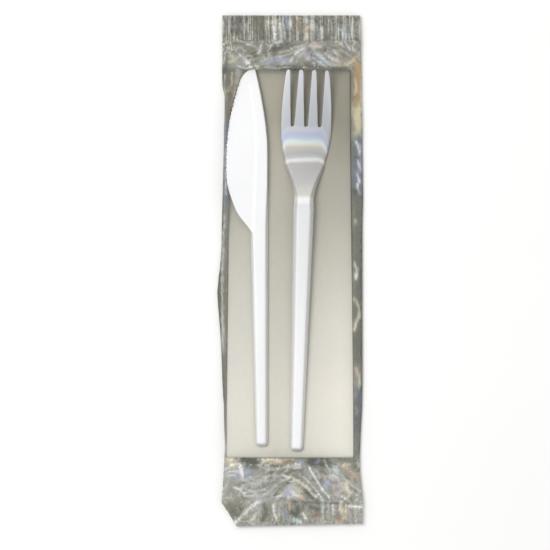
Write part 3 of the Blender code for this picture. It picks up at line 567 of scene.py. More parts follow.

# The creases that the eye picks out, each a painted glint or painted shade: tint, width in mm, strength,
# and their run in mm over the sheet.
CREASES = [
    # Crumpled film above the contents.
    ("dark", 1.5, 0.75, [(-7.3, 95.5), (-6.0, 95.9), (-4.7, 96.1)]),
    ("dark", 0.8, 0.60, [(-1.7, 97.4), (-0.9, 97.6)]),
    ("dark", 0.5, 0.50, [(0.4, 98.5), (1.1, 98.7)]),
    ("silver", 0.4, 0.90, [(-9.2, 92.1), (-9.2, 95.5), (-7.3, 97.9), (-3.9, 98.5)]),
    ("silver", 0.6, 0.70, [(-12.5, 89.9), (-7.7, 91.8), (-0.9, 92.7), (3.0, 95.1), (5.6, 96.8)]),
    ("silver", 0.4, 0.60, [(-4.7, 93.8), (-0.4, 94.2), (3.0, 96.4)]),
    ("blue", 0.7, 0.75, [(-10.3, 89.5), (-6.0, 90.5), (-2.6, 90.5), (0.4, 89.3)]),
    ("white", 0.6, 0.75, [(0.4, 89.9), (1.9, 92.9), (4.3, 94.8), (6.0, 95.5)]),
    ("silver", 0.5, 0.80, [(2.6, 89.5), (3.9, 92.1), (6.0, 93.8)]),
    ("lavender", 1.0, 0.50, [(6.4, 94.2), (8.2, 92.1), (8.6, 90.3)]),
    ("cyan", 0.8, 0.85, [(12.0, 92.9), (14.6, 90.3), (17.6, 87.8)]),
    ("white", 0.4, 0.70, [(15.0, 93.3), (17.6, 91.2), (20.6, 89.9)]),
    ("cyan", 0.5, 0.60, [(9.9, 91.6), (12.9, 89.0), (15.0, 86.9)]),
    ("pink", 0.9, 0.80, [(9.0, 97.2), (11.2, 96.6), (12.9, 96.6)]),
    ("pink", 0.8, 0.80, [(25.8, 95.5), (27.9, 94.6)]),
    ("pink", 0.7, 0.75, [(18.5, 90.1), (21.9, 89.9)]),
    ("cream", 0.7, 0.80, [(18.9, 88.2), (22.8, 88.0), (26.2, 89.5), (28.4, 92.1)]),
    ("cream", 0.4, 0.80, [(14.6, 87.8), (16.8, 86.5)]),
    ("silver", 0.4, 0.70, [(17.2, 92.9), (20.2, 94.8), (22.8, 94.6), (25.8, 92.5)]),
    ("white", 0.4, 0.80, [(-21.5, 92.9), (-18.9, 90.8), (-17.0, 87.3)]),
    ("silver", 0.4, 0.70, [(-24.5, 95.1), (-21.5, 96.4), (-18.9, 94.2), (-21.5, 92.1), (-24.1, 90.8)]),
    ("silver", 0.4, 0.60, [(-19.8, 91.6), (-17.6, 92.9), (-15.9, 91.6), (-18.1, 89.9)]),
    ("silver", 0.4, 0.60, [(-18.5, 97.6), (-15.5, 97.2), (-12.9, 94.2), (-10.3, 90.8)]),
    ("cream", 0.7, 0.70, [(-26.2, 92.5), (-24.5, 92.3)]),
    ("cream", 0.7, 0.70, [(-26.2, 89.9), (-24.1, 89.9)]),
    ("white", 0.5, 0.80, [(-11.6, 98.5), (-12.5, 96.4), (-13.5, 93.8)]),
    # Top crimp.
    ("olive", 1.0, 0.70, [(-15.5, 108.8), (-12.0, 105.0), (-10.3, 100.2), (-10.8, 97.6)]),
    ("dark", 0.9, 0.50, [(-26.7, 108.4), (-18.9, 108.8), (-12.0, 109.0)]),
    ("cream", 0.6, 0.60, [(-10.3, 107.5), (-7.7, 106.2), (-4.7, 108.0)]),
    ("white", 0.5, 0.75, [(-6.9, 105.0), (-6.5, 99.8)]),
    ("white", 0.7, 0.85, [(-4.5, 106.2), (-3.9, 99.4)]),
    ("cyan", 0.5, 0.70, [(-2.6, 105.4), (-1.9, 99.4)]),
    ("blue", 0.8, 0.85, [(-1.7, 109.7), (-1.1, 105.0)]),
    ("white", 0.5, 0.75, [(0.4, 108.0), (0.6, 105.0)]),
    ("brown", 0.5, 0.60, [(2.1, 108.8), (2.1, 103.7)]),
    ("peach", 0.6, 0.55, [(3.9, 108.8), (4.3, 102.8)]),
    ("cyan", 0.9, 0.60, [(6.9, 107.5), (9.5, 106.7)]),
    ("peach", 0.9, 0.85, [(6.9, 104.3), (9.5, 104.5)]),
    ("cream", 0.7, 0.50, [(7.3, 101.9), (7.7, 99.8)]),
    ("lavender", 0.6, 0.75, [(11.6, 105.8), (12.3, 100.2)]),
    ("white", 0.5, 0.70, [(13.8, 104.5), (13.8, 99.8)]),
    ("brown", 0.4, 0.50, [(15.5, 106.2), (15.5, 100.2)]),
    ("silver", 0.4, 0.60, [(17.6, 108.0), (18.1, 99.4)]),
    ("cyan", 0.9, 0.60, [(21.1, 103.7), (23.6, 100.7)]),
    ("blue", 0.5, 0.60, [(24.5, 106.2), (24.9, 99.4)]),
    ("silver", 0.5, 0.70, [(26.7, 107.1), (27.1, 101.1)]),
    ("silver", 0.4, 0.60, [(29.7, 107.1), (29.7, 100.2)]),
    ("blue", 0.8, 0.50, [(-27.1, 104.5), (-24.5, 105.0)]),
    ("blue", 0.8, 0.50, [(-21.5, 105.0), (-19.8, 103.7)]),
    ("cream", 0.6, 0.50, [(-24.5, 100.2), (-21.5, 98.9)]),
    ("peach", 0.4, 0.50, [(-18.9, 106.2), (-17.6, 103.2)]),
    # Painted shadow along the napkin's top edge, and painted glints and shade beside it.
    ("dark", 0.8, 0.65, [(-12.0, 86.9), (-4.3, 87.3), (4.3, 87.1)]),
    ("dark", 0.7, 0.70, [(6.9, 88.2), (10.7, 87.1), (17.2, 86.7), (23.2, 86.7)]),
    ("olive", 0.9, 0.60, [(-28.0, 101.1), (-27.5, 95.1), (-27.1, 88.2)]),
    ("peach", 0.9, 0.85, [(29.0, 89.0), (29.5, 85.6)]),
    # Crumpled film below the contents.
    ("dark", 1.4, 1.20, [(-19.8, -81.2), (-17.2, -81.5), (-15.1, -81.9)]),
    ("olive", 0.9, 0.60, [(-18.9, -83.8), (-14.6, -83.4)]),
    ("cream", 1.3, 0.70, [(-25.8, -81.7), (-24.5, -83.4), (-23.7, -84.7)]),
    ("peach", 0.7, 0.50, [(-26.7, -81.2), (-24.9, -80.8)]),
    ("lavender", 1.1, 0.85, [(-23.7, -87.5), (-21.5, -87.3)]),
    ("blue", 1.1, 0.75, [(-19.1, -87.3), (-18.1, -86.0)]),
    ("white", 0.7, 0.95, [(-21.5, -83.4), (-20.6, -86.0), (-20.2, -88.5)]),
    ("cream", 0.6, 0.85, [(-11.6, -81.7), (-7.7, -80.6), (-3.9, -81.7)]),
    ("peach", 0.5, 0.75, [(-10.3, -83.0), (-6.0, -82.1), (-0.9, -81.7), (1.3, -80.4)]),
    ("brown", 0.6, 0.70, [(-2.2, -82.1), (0.4, -81.2)]),
    ("dark", 0.6, 0.50, [(-7.7, -83.4), (-3.9, -83.8)]),
    ("silver", 0.4, 0.70, [(-13.8, -83.4), (-8.6, -85.5), (-4.3, -84.7), (0.9, -83.4), (4.3, -84.2)]),
    ("blue", 0.8, 0.90, [(4.5, -82.1), (5.6, -81.7)]),
    ("white", 0.6, 0.90, [(3.0, -83.0), (4.3, -83.0)]),
    ("dark", 1.6, 1.20, [(9.0, -81.7), (12.0, -81.7), (15.0, -82.1)]),
    ("blue", 0.6, 0.75, [(11.6, -82.1), (12.5, -81.2)]),
    ("olive", 1.1, 0.60, [(15.0, -81.2), (17.2, -82.5)]),
    ("cyan", 0.9, 0.80, [(18.9, -84.7), (20.6, -86.0)]),
    ("white", 0.5, 0.80, [(18.5, -87.3), (21.1, -89.4)]),
    ("cream", 0.7, 0.75, [(23.2, -83.4), (25.4, -83.0)]),
    ("peach", 0.8, 0.75, [(23.6, -84.2), (26.2, -86.4), (28.4, -88.5)]),
    ("olive", 0.8, 0.55, [(21.5, -80.8), (25.8, -81.7), (27.9, -81.2)]),
    ("white", 0.3, 0.85, [(8.2, -84.2), (11.2, -89.4), (14.0, -93.9)]),
    ("white", 0.4, 0.80, [(14.0, -93.9), (16.8, -97.1)]),
    ("silver", 0.4, 0.90, [(14.6, -81.2), (16.8, -85.5), (18.3, -89.8)]),
    ("lavender", 1.0, 0.90, [(15.5, -92.4), (16.3, -90.7)]),
    ("silver", 0.4, 0.80, [(19.8, -84.2), (22.4, -88.1), (25.8, -91.6), (30.1, -94.6)]),
    ("silver", 0.4, 0.60, [(18.9, -89.8), (23.6, -89.0), (26.7, -91.6)]),
    ("pink", 1.1, 0.70, [(19.3, -92.8), (21.5, -91.6)]),
    ("pink", 0.9, 0.70, [(20.2, -95.9), (22.8, -93.7)]),
    ("cream", 0.9, 0.75, [(24.1, -91.1), (24.7, -96.3)]),
    ("silver", 0.3, 0.70, [(-17.2, -89.0), (-12.0, -90.3), (-6.9, -89.0), (-2.6, -87.3)]),
    ("silver", 0.4, 0.75, [(-20.6, -89.8), (-14.6, -91.6), (-10.3, -90.3)]),
    ("white", 0.4, 0.70, [(-3.0, -87.7), (2.6, -89.4), (6.9, -92.8), (11.2, -97.1)]),
    ("cream", 0.4, 0.70, [(0.0, -88.1), (5.2, -90.7), (9.5, -95.0)]),
    ("white", 0.3, 0.75, [(4.3, -87.3), (9.0, -91.1), (13.3, -97.1)]),
    ("silver", 0.4, 0.85, [(-12.0, -96.7), (-8.6, -94.6), (-6.0, -91.6), (-2.6, -89.8)]),
    ("silver", 0.3, 0.85, [(-8.2, -97.1), (-5.2, -93.7), (-1.7, -91.6)]),
    ("silver", 0.3, 0.80, [(-6.0, -98.4), (-2.6, -94.6), (0.0, -92.8)]),
    ("dark", 0.3, 0.50, [(-6.9, -96.3), (-3.9, -92.8), (-0.4, -90.7)]),
    ("white", 1.0, 0.85, [(0.4, -94.6), (2.1, -95.9), (3.9, -96.7)]),
    ("cream", 0.8, 0.70, [(1.3, -92.8), (3.9, -94.1)]),
    ("peach", 0.6, 0.90, [(3.9, -96.7), (5.6, -97.6)]),
    ("lavender", 0.9, 0.75, [(-1.7, -95.0), (0.0, -94.1)]),
    ("dark", 0.5, 0.60, [(6.4, -94.1), (9.0, -97.1), (12.0, -98.9)]),
    ("silver", 0.4, 0.85, [(-23.2, -94.6), (-20.6, -93.3), (-18.1, -94.1), (-15.1, -95.0),
                           (-13.8, -96.7)]),
    ("silver", 0.3, 0.80, [(-22.4, -96.7), (-19.8, -95.4), (-18.5, -97.1), (-15.5, -96.7)]),
    ("white", 0.3, 0.70, [(-24.1, -92.8), (-21.5, -93.7), (-19.8, -95.9)]),
    ("dark", 0.3, 0.60, [(0.9, -99.1), (8.6, -99.5), (17.2, -99.7), (24.9, -99.9)]),
    # Bottom crimp.
    ("white", 0.6, 0.75, [(-24.1, -108.8), (-21.5, -105.7), (-18.9, -103.6), (-16.3, -101.0),
                          (-13.8, -99.3)]),
    ("silver", 0.6, 0.65, [(-17.6, -107.9), (-14.6, -104.0), (-12.5, -101.9), (-12.0, -98.4)]),
    ("cream", 0.5, 0.60, [(-16.3, -107.0), (-15.1, -105.3)]),
    ("olive", 1.5, 0.55, [(-25.8, -100.6), (-22.8, -104.5)]),
    ("white", 0.5, 0.85, [(-6.9, -100.2), (-7.1, -102.7), (-6.0, -106.2)]),
    ("silver", 0.5, 0.70, [(-4.3, -99.7), (-4.7, -104.5)]),
    ("cream", 0.5, 0.60, [(-6.0, -107.0), (-5.2, -105.3)]),
    ("peach", 0.6, 0.50, [(-0.4, -99.7), (0.0, -102.7)]),
    ("blue", 0.8, 0.55, [(-2.6, -103.6), (-1.3, -106.2)]),
    ("dark", 1.1, 0.70, [(0.9, -103.6), (3.0, -105.7), (3.4, -101.9)]),
    ("dark", 0.9, 0.60, [(-11.2, -100.6), (-9.9, -104.5), (-12.0, -107.0)]),
    ("cyan", 0.7, 0.90, [(1.7, -106.6), (4.3, -107.9)]),
    ("white", 0.5, 0.85, [(5.6, -104.0), (6.9, -106.2)]),
    ("brown", 0.9, 0.75, [(9.9, -105.3), (12.5, -104.5)]),
    ("dark", 0.9, 0.60, [(9.0, -101.4), (12.0, -102.3)]),
    ("cyan", 0.4, 0.75, [(14.2, -99.7), (14.2, -106.6)]),
    ("silver", 0.4, 0.80, [(16.3, -99.7), (16.3, -106.2)]),
    ("white", 0.4, 0.80, [(18.5, -100.6), (18.5, -104.5)]),
    ("cream", 0.6, 0.85, [(21.9, -100.2), (22.1, -104.0)]),
    ("cream", 0.5, 0.80, [(24.1, -100.2), (24.1, -103.2)]),
    ("white", 0.4, 0.90, [(25.8, -101.0), (30.5, -101.4)]),
    ("peach", 0.6, 0.90, [(20.2, -108.3), (21.9, -107.0), (23.6, -105.3)]),
    ("brown", 0.9, 0.50, [(20.6, -104.9), (21.5, -107.0)]),
    ("silver", 0.4, 0.60, [(25.8, -103.2), (25.8, -107.0)]),
    ("silver", 0.4, 0.60, [(28.4, -102.7), (28.4, -107.0)]),
    # Side margins, with the hairlines that run along both edges.
    ("silver", 0.6, 0.60, [(-27.5, -92.8), (-26.2, -89.0), (-26.2, -85.5)]),
    ("tan", 1.6, 1.20, [(29.4, 88.0), (29.6, 78.0), (29.4, 70.5)]),
    ("cream", 0.4, 0.80, [(27.9, 82.0), (28.6, 79.0), (28.0, 76.0)]),
    ("white", 0.4, 0.70, [(30.9, 84.0), (30.6, 74.0), (30.9, 66.0)]),
    ("straw", 1.6, 1.50, [(29.4, 69.0), (29.8, 62.0), (29.3, 57.5)]),
    ("slate", 2.0, 1.20, [(29.6, 56.0), (29.4, 45.0), (29.6, 33.0)]),
    ("white", 0.5, 0.95, [(28.6, 55.0), (30.0, 51.5), (28.9, 48.0), (30.1, 44.0)]),
    ("lavender", 0.7, 0.85, [(30.3, 54.0), (30.1, 49.0), (30.4, 43.0)]),
    ("white", 0.5, 0.85, [(28.8, 42.0), (29.9, 39.0), (28.8, 36.0), (29.6, 33.5)]),
    ("dark", 0.8, 0.75, [(28.8, 49.2), (29.0, 48.2)]),
    ("dark", 0.8, 0.75, [(27.9, 34.6), (28.2, 33.4)]),
    ("ash", 1.9, 0.95, [(29.4, 31.0), (29.4, 0.0), (29.2, -38.0)]),
    ("cream", 0.5, 0.60, [(27.9, 21.6), (28.1, 20.6)]),
    ("cream", 0.5, 0.60, [(28.1, -1.2), (28.5, -2.2)]),
    ("white", 0.5, 0.70, [(27.8, 3.0), (29.0, 0.0), (28.2, -3.5)]),
    ("cream", 0.5, 0.90, [(27.3, -12.0), (29.7, -14.6), (30.1, -18.9), (28.4, -21.9), (27.6, -25.3)]),
    ("peach", 0.6, 0.85, [(28.2, -41.5), (29.2, -44.5)]),
    ("cream", 0.5, 0.90, [(30.2, -45.5), (29.6, -50.5), (28.0, -53.5)]),
    ("slate", 2.0, 0.80, [(29.6, -52.0), (29.4, -68.0)]),
    ("silver", 0.4, 0.80, [(28.2, -58.5), (29.2, -60.0), (28.4, -61.5)]),
    ("tan", 0.5, 0.80, [(-28.5, -3.0), (-29.4, -8.0), (-28.3, -12.5)]),
    ("cream", 0.4, 0.70, [(-28.4, -15.0), (-28.9, -20.0), (-28.2, -26.0)]),
    ("ash", 1.9, 0.50, [(29.6, -58.0), (29.4, -78.0)]),
    ("dark", 2.2, 0.75, [(-28.0, 86.0), (-28.6, 74.0), (-29.0, 60.0)]),
    ("brown", 1.0, 0.55, [(-24.0, 83.0), (-25.5, 74.0), (-26.6, 66.0)]),
    ("cream", 0.4, 0.60, [(-24.8, 85.0), (-25.2, 80.0), (-26.6, 77.5)]),
    ("cream", 0.4, 0.60, [(-27.8, 84.0), (-28.8, 80.0), (-27.7, 76.0), (-28.6, 72.0)]),
    ("blue", 0.5, 0.70, [(-28.6, 68.0), (-28.3, 62.0), (-29.2, 57.0)]),
    ("slate", 1.9, 1.20, [(-28.4, 60.0), (-28.0, 46.0), (-28.3, 30.0)]),
    ("white", 0.3, 0.60, [(-27.6, 52.0), (-27.4, 42.0), (-27.6, 33.0)]),
    ("ash", 2.1, 0.95, [(-28.6, 26.0), (-29.2, 10.0)]),
    ("dark", 2.0, 0.75, [(-29.8, -2.0), (-30.0, -24.0)]),
    ("silver", 0.5, 0.75, [(-28.1, 24.0), (-28.9, 8.0), (-29.3, -12.0), (-28.6, -36.0)]),
    ("ash", 1.4, 0.80, [(-28.6, -36.0), (-28.2, -62.0)]),
    ("ash", 1.4, 0.60, [(-28.8, -64.0), (-28.9, -78.0)]),
    ("dark", 0.35, 0.90, [(-29.2, 84.0), (-28.9, 60.0), (-28.5, 40.0), (-29.1, 20.0), (-30.9, 0.0)]),
    ("dark", 0.35, 0.90, [(-30.9, 0.0), (-31.3, -12.0), (-30.2, -32.0), (-28.8, -50.0), (-28.3, -80.0)]),
    ("dark", 0.35, 0.70, [(31.0, 84.0), (31.0, 50.0), (31.2, 30.0), (30.5, 0.0), (30.5, -12.0)]),
    ("dark", 0.35, 0.70, [(30.5, -12.0), (31.0, -48.0), (30.4, -70.0), (30.0, -82.0)]),
]

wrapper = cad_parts["film_wrapper"].data
wrapper_corners = [v.co for v in wrapper.vertices]
wrapper_tree = BVHTree.FromPolygons(wrapper_corners, [p.vertices for p in wrapper.polygons])
film_low, film_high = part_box("film_wrapper")
SEAL_TOP_Y = film_high.y - TOP_SEAL
SEAL_BOTTOM_Y = film_low.y + BOTTOM_SEAL
TAIL_TOP_Y = SEAL_TOP_Y - TOP_TAIL
TAIL_BOTTOM_Y = SEAL_BOTTOM_Y + BOTTOM_TAIL


def height_at(x, y, downward):
    """The wrapper's height at a place, met from above or from below, or None beside it."""
    way = -1.0 if downward else 1.0
    hit = wrapper_tree.ray_cast(Vector((x, y, -way * OUTSIDE_PACK)), Vector((0, 0, way)))[0]
    return None if hit is None else hit.z


def edge_at(y, side):
    """How far out the wrapper reaches at y, to the left (-1) or to the right (1)."""
    inside, outside = 0.0, side * OUTSIDE_PACK
    halvings = 13
    for _ in range(halvings):
        middle = (inside + outside) / 2
        if height_at(middle, y, True) is None:
            outside = middle
        else:
            inside = middle
    return inside


def film_rows():
    """Places along the film, close together in the crumpled ends and further apart between them."""
    first, last = film_low.y + FILM_INSET, film_high.y - FILM_INSET
    marks = [first, TAIL_BOTTOM_Y + 2 * MM, TAIL_TOP_Y - 2 * MM, last]
    rows = []
    for start, end, pitch in zip(marks, marks[1:], (END_ROW, MIDDLE_ROW, END_ROW)):
        count = math.ceil((end - start) / pitch)
        rows += [start + (end - start) * n / count for n in range(count)]
    return np.array(rows + [marks[-1]])


def smoothed(field, rounds):
    """A field with each value drawn towards its neighbours, round after round."""
    for _ in range(rounds):
        padded = np.pad(field, 1, mode="edge")
        field = (2 * field + padded[:-2, 1:-1] + padded[2:, 1:-1]) / 4
        padded = np.pad(field, 1, mode="edge")
        field = (2 * field + padded[1:-1, :-2] + padded[1:-1, 2:]) / 4
    return field


def folds(x, y, size, seed, sharpness):
    """Soft folds that wander and curl: 1 along a fold, falling to 0 between folds."""
    return np.clip(1 - 1.6 * np.abs(waves(x, y, size, seed)), 0, 1) ** sharpness


def strands(x, y, degrees, across, along, seed):
    """Noise drawn out along one direction, for folds that run side by side."""
    c, s = math.cos(math.radians(degrees)), math.sin(math.radians(degrees))
    return waves((x * c + y * s) / along * MM, (y * c - x * s) / across * MM, MM, seed)


def away_from(x, y, run):
    """The distance of every place from a line through points, once its corners are rounded off."""
    for _ in range(2):
        cut = [run[0]]
        for (ax, ay), (bx, by) in zip(run, run[1:]):
            cut += [(ax + (bx - ax) / 4, ay + (by - ay) / 4), (bx + (ax - bx) / 4, by + (ay - by) / 4)]
        run = cut + [run[-1]]
    nearest = np.full(x.shape, 1.0)
    for (ax, ay), (bx, by) in zip(run, run[1:]):
        length = (bx - ax) ** 2 + (by - ay) ** 2
        share = np.clip(((x - ax) * (bx - ax) + (y - ay) * (by - ay)) / length, 0, 1)
        nearest = np.minimum(nearest, np.hypot(x - ax - share * (bx - ax), y - ay - share * (by - ay)))
    return nearest


def clear_of(node, x, y):
    """How far every place lies from a node's outline, seen from above: 0 inside it."""
    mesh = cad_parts[node].data
    flat = [Vector((v.co.x, v.co.y, 0.0)) for v in mesh.vertices]
    tree = BVHTree.FromPolygons(flat, [p.vertices for p in mesh.polygons])
    places = zip(np.ravel(x), np.ravel(y))
    return np.array([tree.find_nearest(Vector((a, b, 0.0)))[3] for a, b in places]).reshape(x.shape)


def bare_of_contents(x, y):
    """1 where the film hides what is behind it: beside the contents and in loose folds by the blade."""
    plastic_clear = np.minimum(clear_of("knife", x, y), clear_of("fork", x, y))
    clear = np.minimum(plastic_clear, clear_of("napkin", x, y))
    loose = ease((-x - LOOSE_FROM_X) / (4 * MM)) * ease((y - LOOSE_FROM_Y) / (8 * MM))
    texture = 0.75 + 0.35 * waves(x, y, 2 * MM, 51)
    return np.maximum(ease(clear / EDGE_OF_CONTENTS), loose * texture * ease(plastic_clear / (0.6 * MM)))


def crumples(x, y):
    """Wandering folds, wide and fine, the slanting lines that the film's pull draws, and specks."""
    bent_x = x + 1.3 * MM * waves(x, y, 6 * MM, 1) + 0.6 * MM * waves(x, y, 2.6 * MM, 2)
    bent_y = y + 1.3 * MM * waves(x, y, 6 * MM, 3) + 0.6 * MM * waves(x, y, 2.6 * MM, 4)
    wide = folds(bent_x, bent_y, 4.2 * MM, 5, 5)
    fine = folds(bent_x, bent_y, 2.1 * MM, 6, 4)
    rising = strands(bent_x, bent_y, 12, 1.4 * MM, 7 * MM, 9)
    falling = strands(bent_x, bent_y, -38, 1.4 * MM, 8 * MM, 10)
    pull = rising + (falling - rising) * ease((x - 6 * MM) / (14 * MM))
    speck = waves(bent_x, bent_y, 1.3 * MM, 15) + waves(x, y, 0.8 * MM, 45)
    return wide, fine, pull, speck


def crumpled_glints(x, y, wide, fine, pull):
    """Painted glints and shade on crumpled film, lighter or darker than its ground, calmer in some
    places.
    """
    calm = 0.3 + 0.7 * ease(0.5 + 1.3 * waves(x, y, 7 * MM, 33))
    cloud = waves(x, y, 9 * MM, 31)
    return 20 * cloud + (46 * (wide - 0.2) + 20 * (fine - 0.22) + 38 * pull) * calm


def crimped_glints(x, y, fine, speck):
    """The same for crimped film: upright stripes in patches, which leave its outer edge plain."""
    stripe = strands(x, y, 90, 0.7 * MM, 4.5 * MM, 13) + 0.7 * strands(x, y, 90, 1.1 * MM, 3 * MM, 14)
    from_edge = np.minimum(film_high.y - y, y - film_low.y)
    patch = ease(0.45 + 1.1 * waves(x, y, 5 * MM, 16)) * ease((from_edge - PLAIN_EDGE) / (2 * MM))
    between = 1 - 0.6 * patch
    glints = 16 * waves(x, y, 9 * MM, 31) + 23 * stripe * (0.1 + 0.9 * patch) + 24 * speck * between
    return glints + 26 * (fine - 0.25) * between - np.where(y > 0, *CRIMP_DARKER)


def add_creases(x, y, glints, height, seen):
    """Adds each crease to the relief and its painted glint or shade to the colour, more where the film
    glints anyway.
    """
    astray_x = x + 0.4 * MM * waves(x, y, 1.0 * MM, 17)
    astray_y = y + 0.4 * MM * waves(x, y, 1.0 * MM, 18)
    grit = np.clip(0.85 + 0.5 * waves(x, y, 0.6 * MM, 19), 0.55, 1.1)
    hold = grit * (np.where(y > 0, 0.6, 0.75) + 0.5 * ease(0.5 + glints / 70))
    for tint, width, strength, run in CREASES:
        run = np.array(run) * MM
        low, high = run.min(axis=0) - 6 * width * MM, run.max(axis=0) + 6 * width * MM
        near = (x > low[0]) & (x < high[0]) & (y > low[1]) & (y < high[1])
        gap = away_from(astray_x[near], astray_y[near], run.tolist()) / (width * MM)
        weight = strength * (0.9 * np.exp(-(gap**2)) + 0.35 * np.exp(-((gap / 2.2) ** 2)))
        raised = 1 if sum(FILM_TINTS[tint]) > LIGHT_TINT else -1
        height[near] += weight * CREASE_HEIGHT * raised
        weight = np.clip(weight * hold[near], 0, 0.9)[:, None]
        seen[near] += (np.array(FILM_TINTS[tint]) - seen[near]) * weight


def film_fields(x, y):
    """The film's relief in metres, its colour as the eye sees it, painted glints included, and where it
    is sealed.
    """
    top = ease((y - TAIL_TOP_Y + TAIL_FADE) / (2 * TAIL_FADE))
    bottom = ease((TAIL_BOTTOM_Y + TAIL_FADE - y) / (2 * TAIL_FADE))
    ends = top + bottom
    sealed = np.maximum(ease((y - SEAL_TOP_Y) / SEAL_FADE), ease((SEAL_BOTTOM_Y - y) / SEAL_FADE))
    wide, fine, pull, speck = crumples(x, y)
    glints = crumpled_glints(x, y, wide, fine, pull) * (1 - sealed)
    glints = glints + crimped_glints(x, y, fine, speck) * sealed
    margin = np.where(x < 0, *MARGIN_DARKER) * (1 - ends)
    level = np.where(y > 0, *ENDS_LEVEL) - margin + glints * (0.45 + 0.55 * ends)
    seen = np.stack([level, level - 1, level - 11 + 0.1 * glints], axis=-1)
    # Painted pastel reflections, where the painted glints are bright.
    hue = waves(x, y, 3.2 * MM, 21)
    coloured = ease((glints - 4) / 16) * np.minimum(np.abs(hue) * 2.2, 1)
    seen += coloured[..., None] * np.where(hue[..., None] < 0, (-7.0, 0.0, 12.0), (8.0, 0.0, -10.0))
    height = (WIDE_FOLD_HEIGHT * wide + FINE_FOLD_HEIGHT * fine + PULL_HEIGHT * pull) * ends
    add_creases(x, y, glints, height, seen)
    return height, seen, sealed


def ridges(x, y):
    """The crimping bars' print: upright ridges, pressed deeper in some places than in others."""
    depth = np.clip(0.4 + 0.9 * waves(x, y, 6 * MM, 16), 0.0, 1.2)
    return depth * np.sin(2 * math.pi * (x + 0.1 * MM * waves(x, y, 5 * MM, 22)) / RIDGE_PITCH)


def film_outline():
    """The film's rows, its left and right edge at each, and how nearly each is pressed flat."""
    rows = film_rows()
    above_corner = np.maximum(rows, film_low.y + DOG_EAR_SIDE + 0.3 * MM)
    above_slant = np.maximum(rows, film_low.y + BOTTOM_SLANT + 0.2 * MM)
    left = np.array([edge_at(y, -1) for y in above_corner])
    right = np.array([edge_at(y, 1) for y in above_slant])
    left += np.interp(rows / MM, *zip(*LEFT_DRAWN_IN)) * MM
    right -= np.interp(rows / MM, *zip(*RIGHT_DRAWN_IN)) * MM
    top, bottom = (rows - TAIL_TOP_Y) / TOP_TAIL, (TAIL_BOTTOM_Y - rows) / BOTTOM_TAIL
    return rows, left, right, np.maximum(ease(top), ease(bottom))


def wrapper_skins(x, y):
    """The wrapper's front and back at every place, with room behind for the plies of the fin."""
    front, back = np.zeros(x.shape), np.zeros(x.shape)
    for i in range(x.shape[0]):
        for j in range(x.shape[1]):
            over, under = height_at(x[i, j], y[i, j], True), height_at(x[i, j], y[i, j], False)
            lift = FILM / 2 + 2 * PLY_PITCH * (FIN_STEP < j < FIN_TO)
            front[i, j] = SEAL_LEVEL if over is None else over - FILM / 2
            back[i, j] = SEAL_LEVEL - PLY_PITCH if under is None else under + lift
    return smoothed(front, 4), smoothed(back, 2)


def film_places():
    """Where the film's front and back lie, rows by columns, with the fields that colour them."""
    rows, left, right, pressed = film_outline()
    shares = np.linspace(0, 1, COLUMNS + 1)
    slant = np.where(rows < 0, BOTTOM_SLANT * pressed, 0.0)
    x = (left + SIDE_FOLD / 2)[:, None] + (right - left - SIDE_FOLD)[:, None] * shares
    y = rows[:, None] + slant[:, None] * shares
    front, back = wrapper_skins(x, y)
    height, seen, sealed = film_fields(x, y)
    bare = bare_of_contents(x, y)
    middle = smoothed((front + back) / 2, 12) + RIDGE_HEIGHT * ridges(x, y)
    free = bare * (1 - sealed)
    front += height * free
    back += 0.5 * height * free * pressed[:, None]
    front += (middle + HALF_SEAL_GAP - front) * sealed
    back += (middle - HALF_SEAL_GAP - back) * sealed
    back = np.minimum(back, front - LEAST_GAP)
    back = np.maximum(back, 2 * PLY_PITCH + FILM / 2)
    front = np.maximum(front, back + LEAST_GAP)
    return x, y, front, back, np.concatenate([seen, bare[..., None]], axis=-1)


def film_grid():
    """One grid for the whole sheet, along its path from the inner fin ply to the outer one."""
    x, y, front, back, fields = film_places()
    places, marks = [], []

    def lay(columns, z, shift, own_front):
        for k in columns:
            places.append(np.stack([x[:, k], y[:, k], z[:, k] + shift], axis=-1))
            marks.append(np.column_stack([fields[:, k], np.full(x.shape[0], own_front)]))

    def turn(k, outward):
        arm = (front[:, k] - back[:, k]) / 2
        for n in range(1, EDGE_STEPS):
            angle = math.pi * n / EDGE_STEPS
            z = (front[:, k] + back[:, k]) / 2 - outward * arm * math.cos(angle)
            reach = np.minimum(np.abs(arm), SIDE_FOLD / 2) * math.sin(angle)
            places.append(np.stack([x[:, k] + outward * reach, y[:, k], z], axis=-1))
            marks.append(np.column_stack([fields[:, k], np.full(x.shape[0], 1.0)]))

    lay(range(FIN_TO, FIN_FROM - 1, -BACK_STRIDE), back, -PLY_PITCH, 0.0)
    lay(range(FIN_FROM, COLUMNS + 1, BACK_STRIDE), back, 0.0, 0.0)
    turn(COLUMNS, 1)
    lay(range(COLUMNS, -1, -1), front, 0.0, 1.0)
    turn(0, -1)
    lay(range(0, FIN_STEP + 1, BACK_STRIDE), back, 0.0, 0.0)
    lay(range(FIN_STEP + BACK_STRIDE, FIN_TO + 1, BACK_STRIDE), back, -2 * PLY_PITCH, 0.0)
    return np.stack(places, axis=1), np.stack(marks, axis=1)


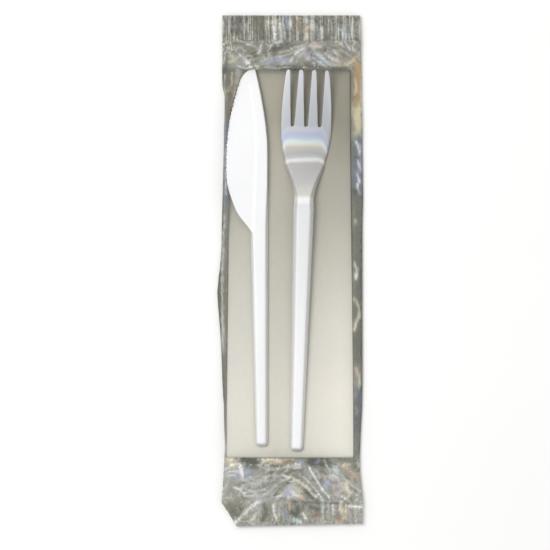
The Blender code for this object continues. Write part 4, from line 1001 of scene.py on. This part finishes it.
def fold_corner_under(places):
    """Turns the bottom left corner over, under the pack, along a slanting crease."""
    left = places[0, :, 0].min()
    start = Vector((left, film_low.y + DOG_EAR_SIDE))
    end = Vector((left + DOG_EAR_END, film_low.y))
    crease = (end - start).normalized()
    outward = np.array((crease.y, -crease.x))
    near = np.array(start) - outward * DOG_EAR_ROLL
    past = (places[..., 0] - near[0]) * outward[0] + (places[..., 1] - near[1]) * outward[1]
    turned = np.clip(past / DOG_EAR_ROLL, 0, math.pi)
    radius = places[..., 2] - DOG_EAR_AXIS
    reach = radius * np.sin(turned) - np.maximum(past - math.pi * DOG_EAR_ROLL, 0.0)
    over = past > 0
    for k in (0, 1):
        places[..., k] = np.where(over, places[..., k] + outward[k] * (reach - past), places[..., k])
    places[..., 2] = np.where(over, DOG_EAR_AXIS + radius * np.cos(turned), places[..., 2])
    return places


def film_finish():
    """Clear film: nearly unseen where it is taut over the contents, grey with painted glints where
    crumpled.
    """
    made, tree, output = new_finish("clear_film")
    place = add(tree, "TexCoord").outputs["Object"]
    look = add(tree, "Attribute", attribute_name="look").outputs["Color"]
    bare = add(tree, "Attribute", attribute_name="bare").outputs["Fac"]
    front = add(tree, "Attribute", attribute_name="front").outputs["Fac"]
    grain = add(tree, "TexNoise", {"Vector": place, "Scale": 1300.0, "Detail": 3.0})
    # Painted sparkle: fine noise that lightens and darkens the look.
    painted_sparkle = [(0.35, (0.84, 0.84, 0.84, 1)), (0.65, (1.14, 1.14, 1.13, 1))]
    colour = tinted(tree, look, ramp(tree, grain.outputs["Fac"], painted_sparkle), 0.35)
    full = add(tree, "MapRange", {"Value": front, "To Min": BACK_ALPHA, "To Max": FRONT_ALPHA})
    alpha = add(tree, "MapRange", {"Value": bare, "To Min": TAUT_ALPHA, "To Max": full.outputs[0]})
    surface = add(tree, "BsdfPrincipled", {
        "Base Color": colour, "Roughness": 0.22, "IOR": 1.5, "Alpha": alpha.outputs[0],
    })
    tree.links.new(surface.outputs[0], output.inputs["Surface"])
    return made


film_points, film_marks = film_grid()
film = sheet_from_grid("film_wrap", fold_corner_under(film_points), film_finish())
look = linear(film_marks[..., :3].reshape(-1, 3))
look = np.column_stack([look, np.ones(len(look))]).astype(np.float32)
film.data.attributes.new("look", "FLOAT_COLOR", "POINT").data.foreach_set("color", look.ravel())
for field_name, values in (("bare", film_marks[..., 3]), ("front", film_marks[..., 4])):
    attribute = film.data.attributes.new(field_name, "FLOAT", "POINT")
    attribute.data.foreach_set("value", values.ravel().astype(np.float32))
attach(film, "root")
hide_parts("film_wrapper")
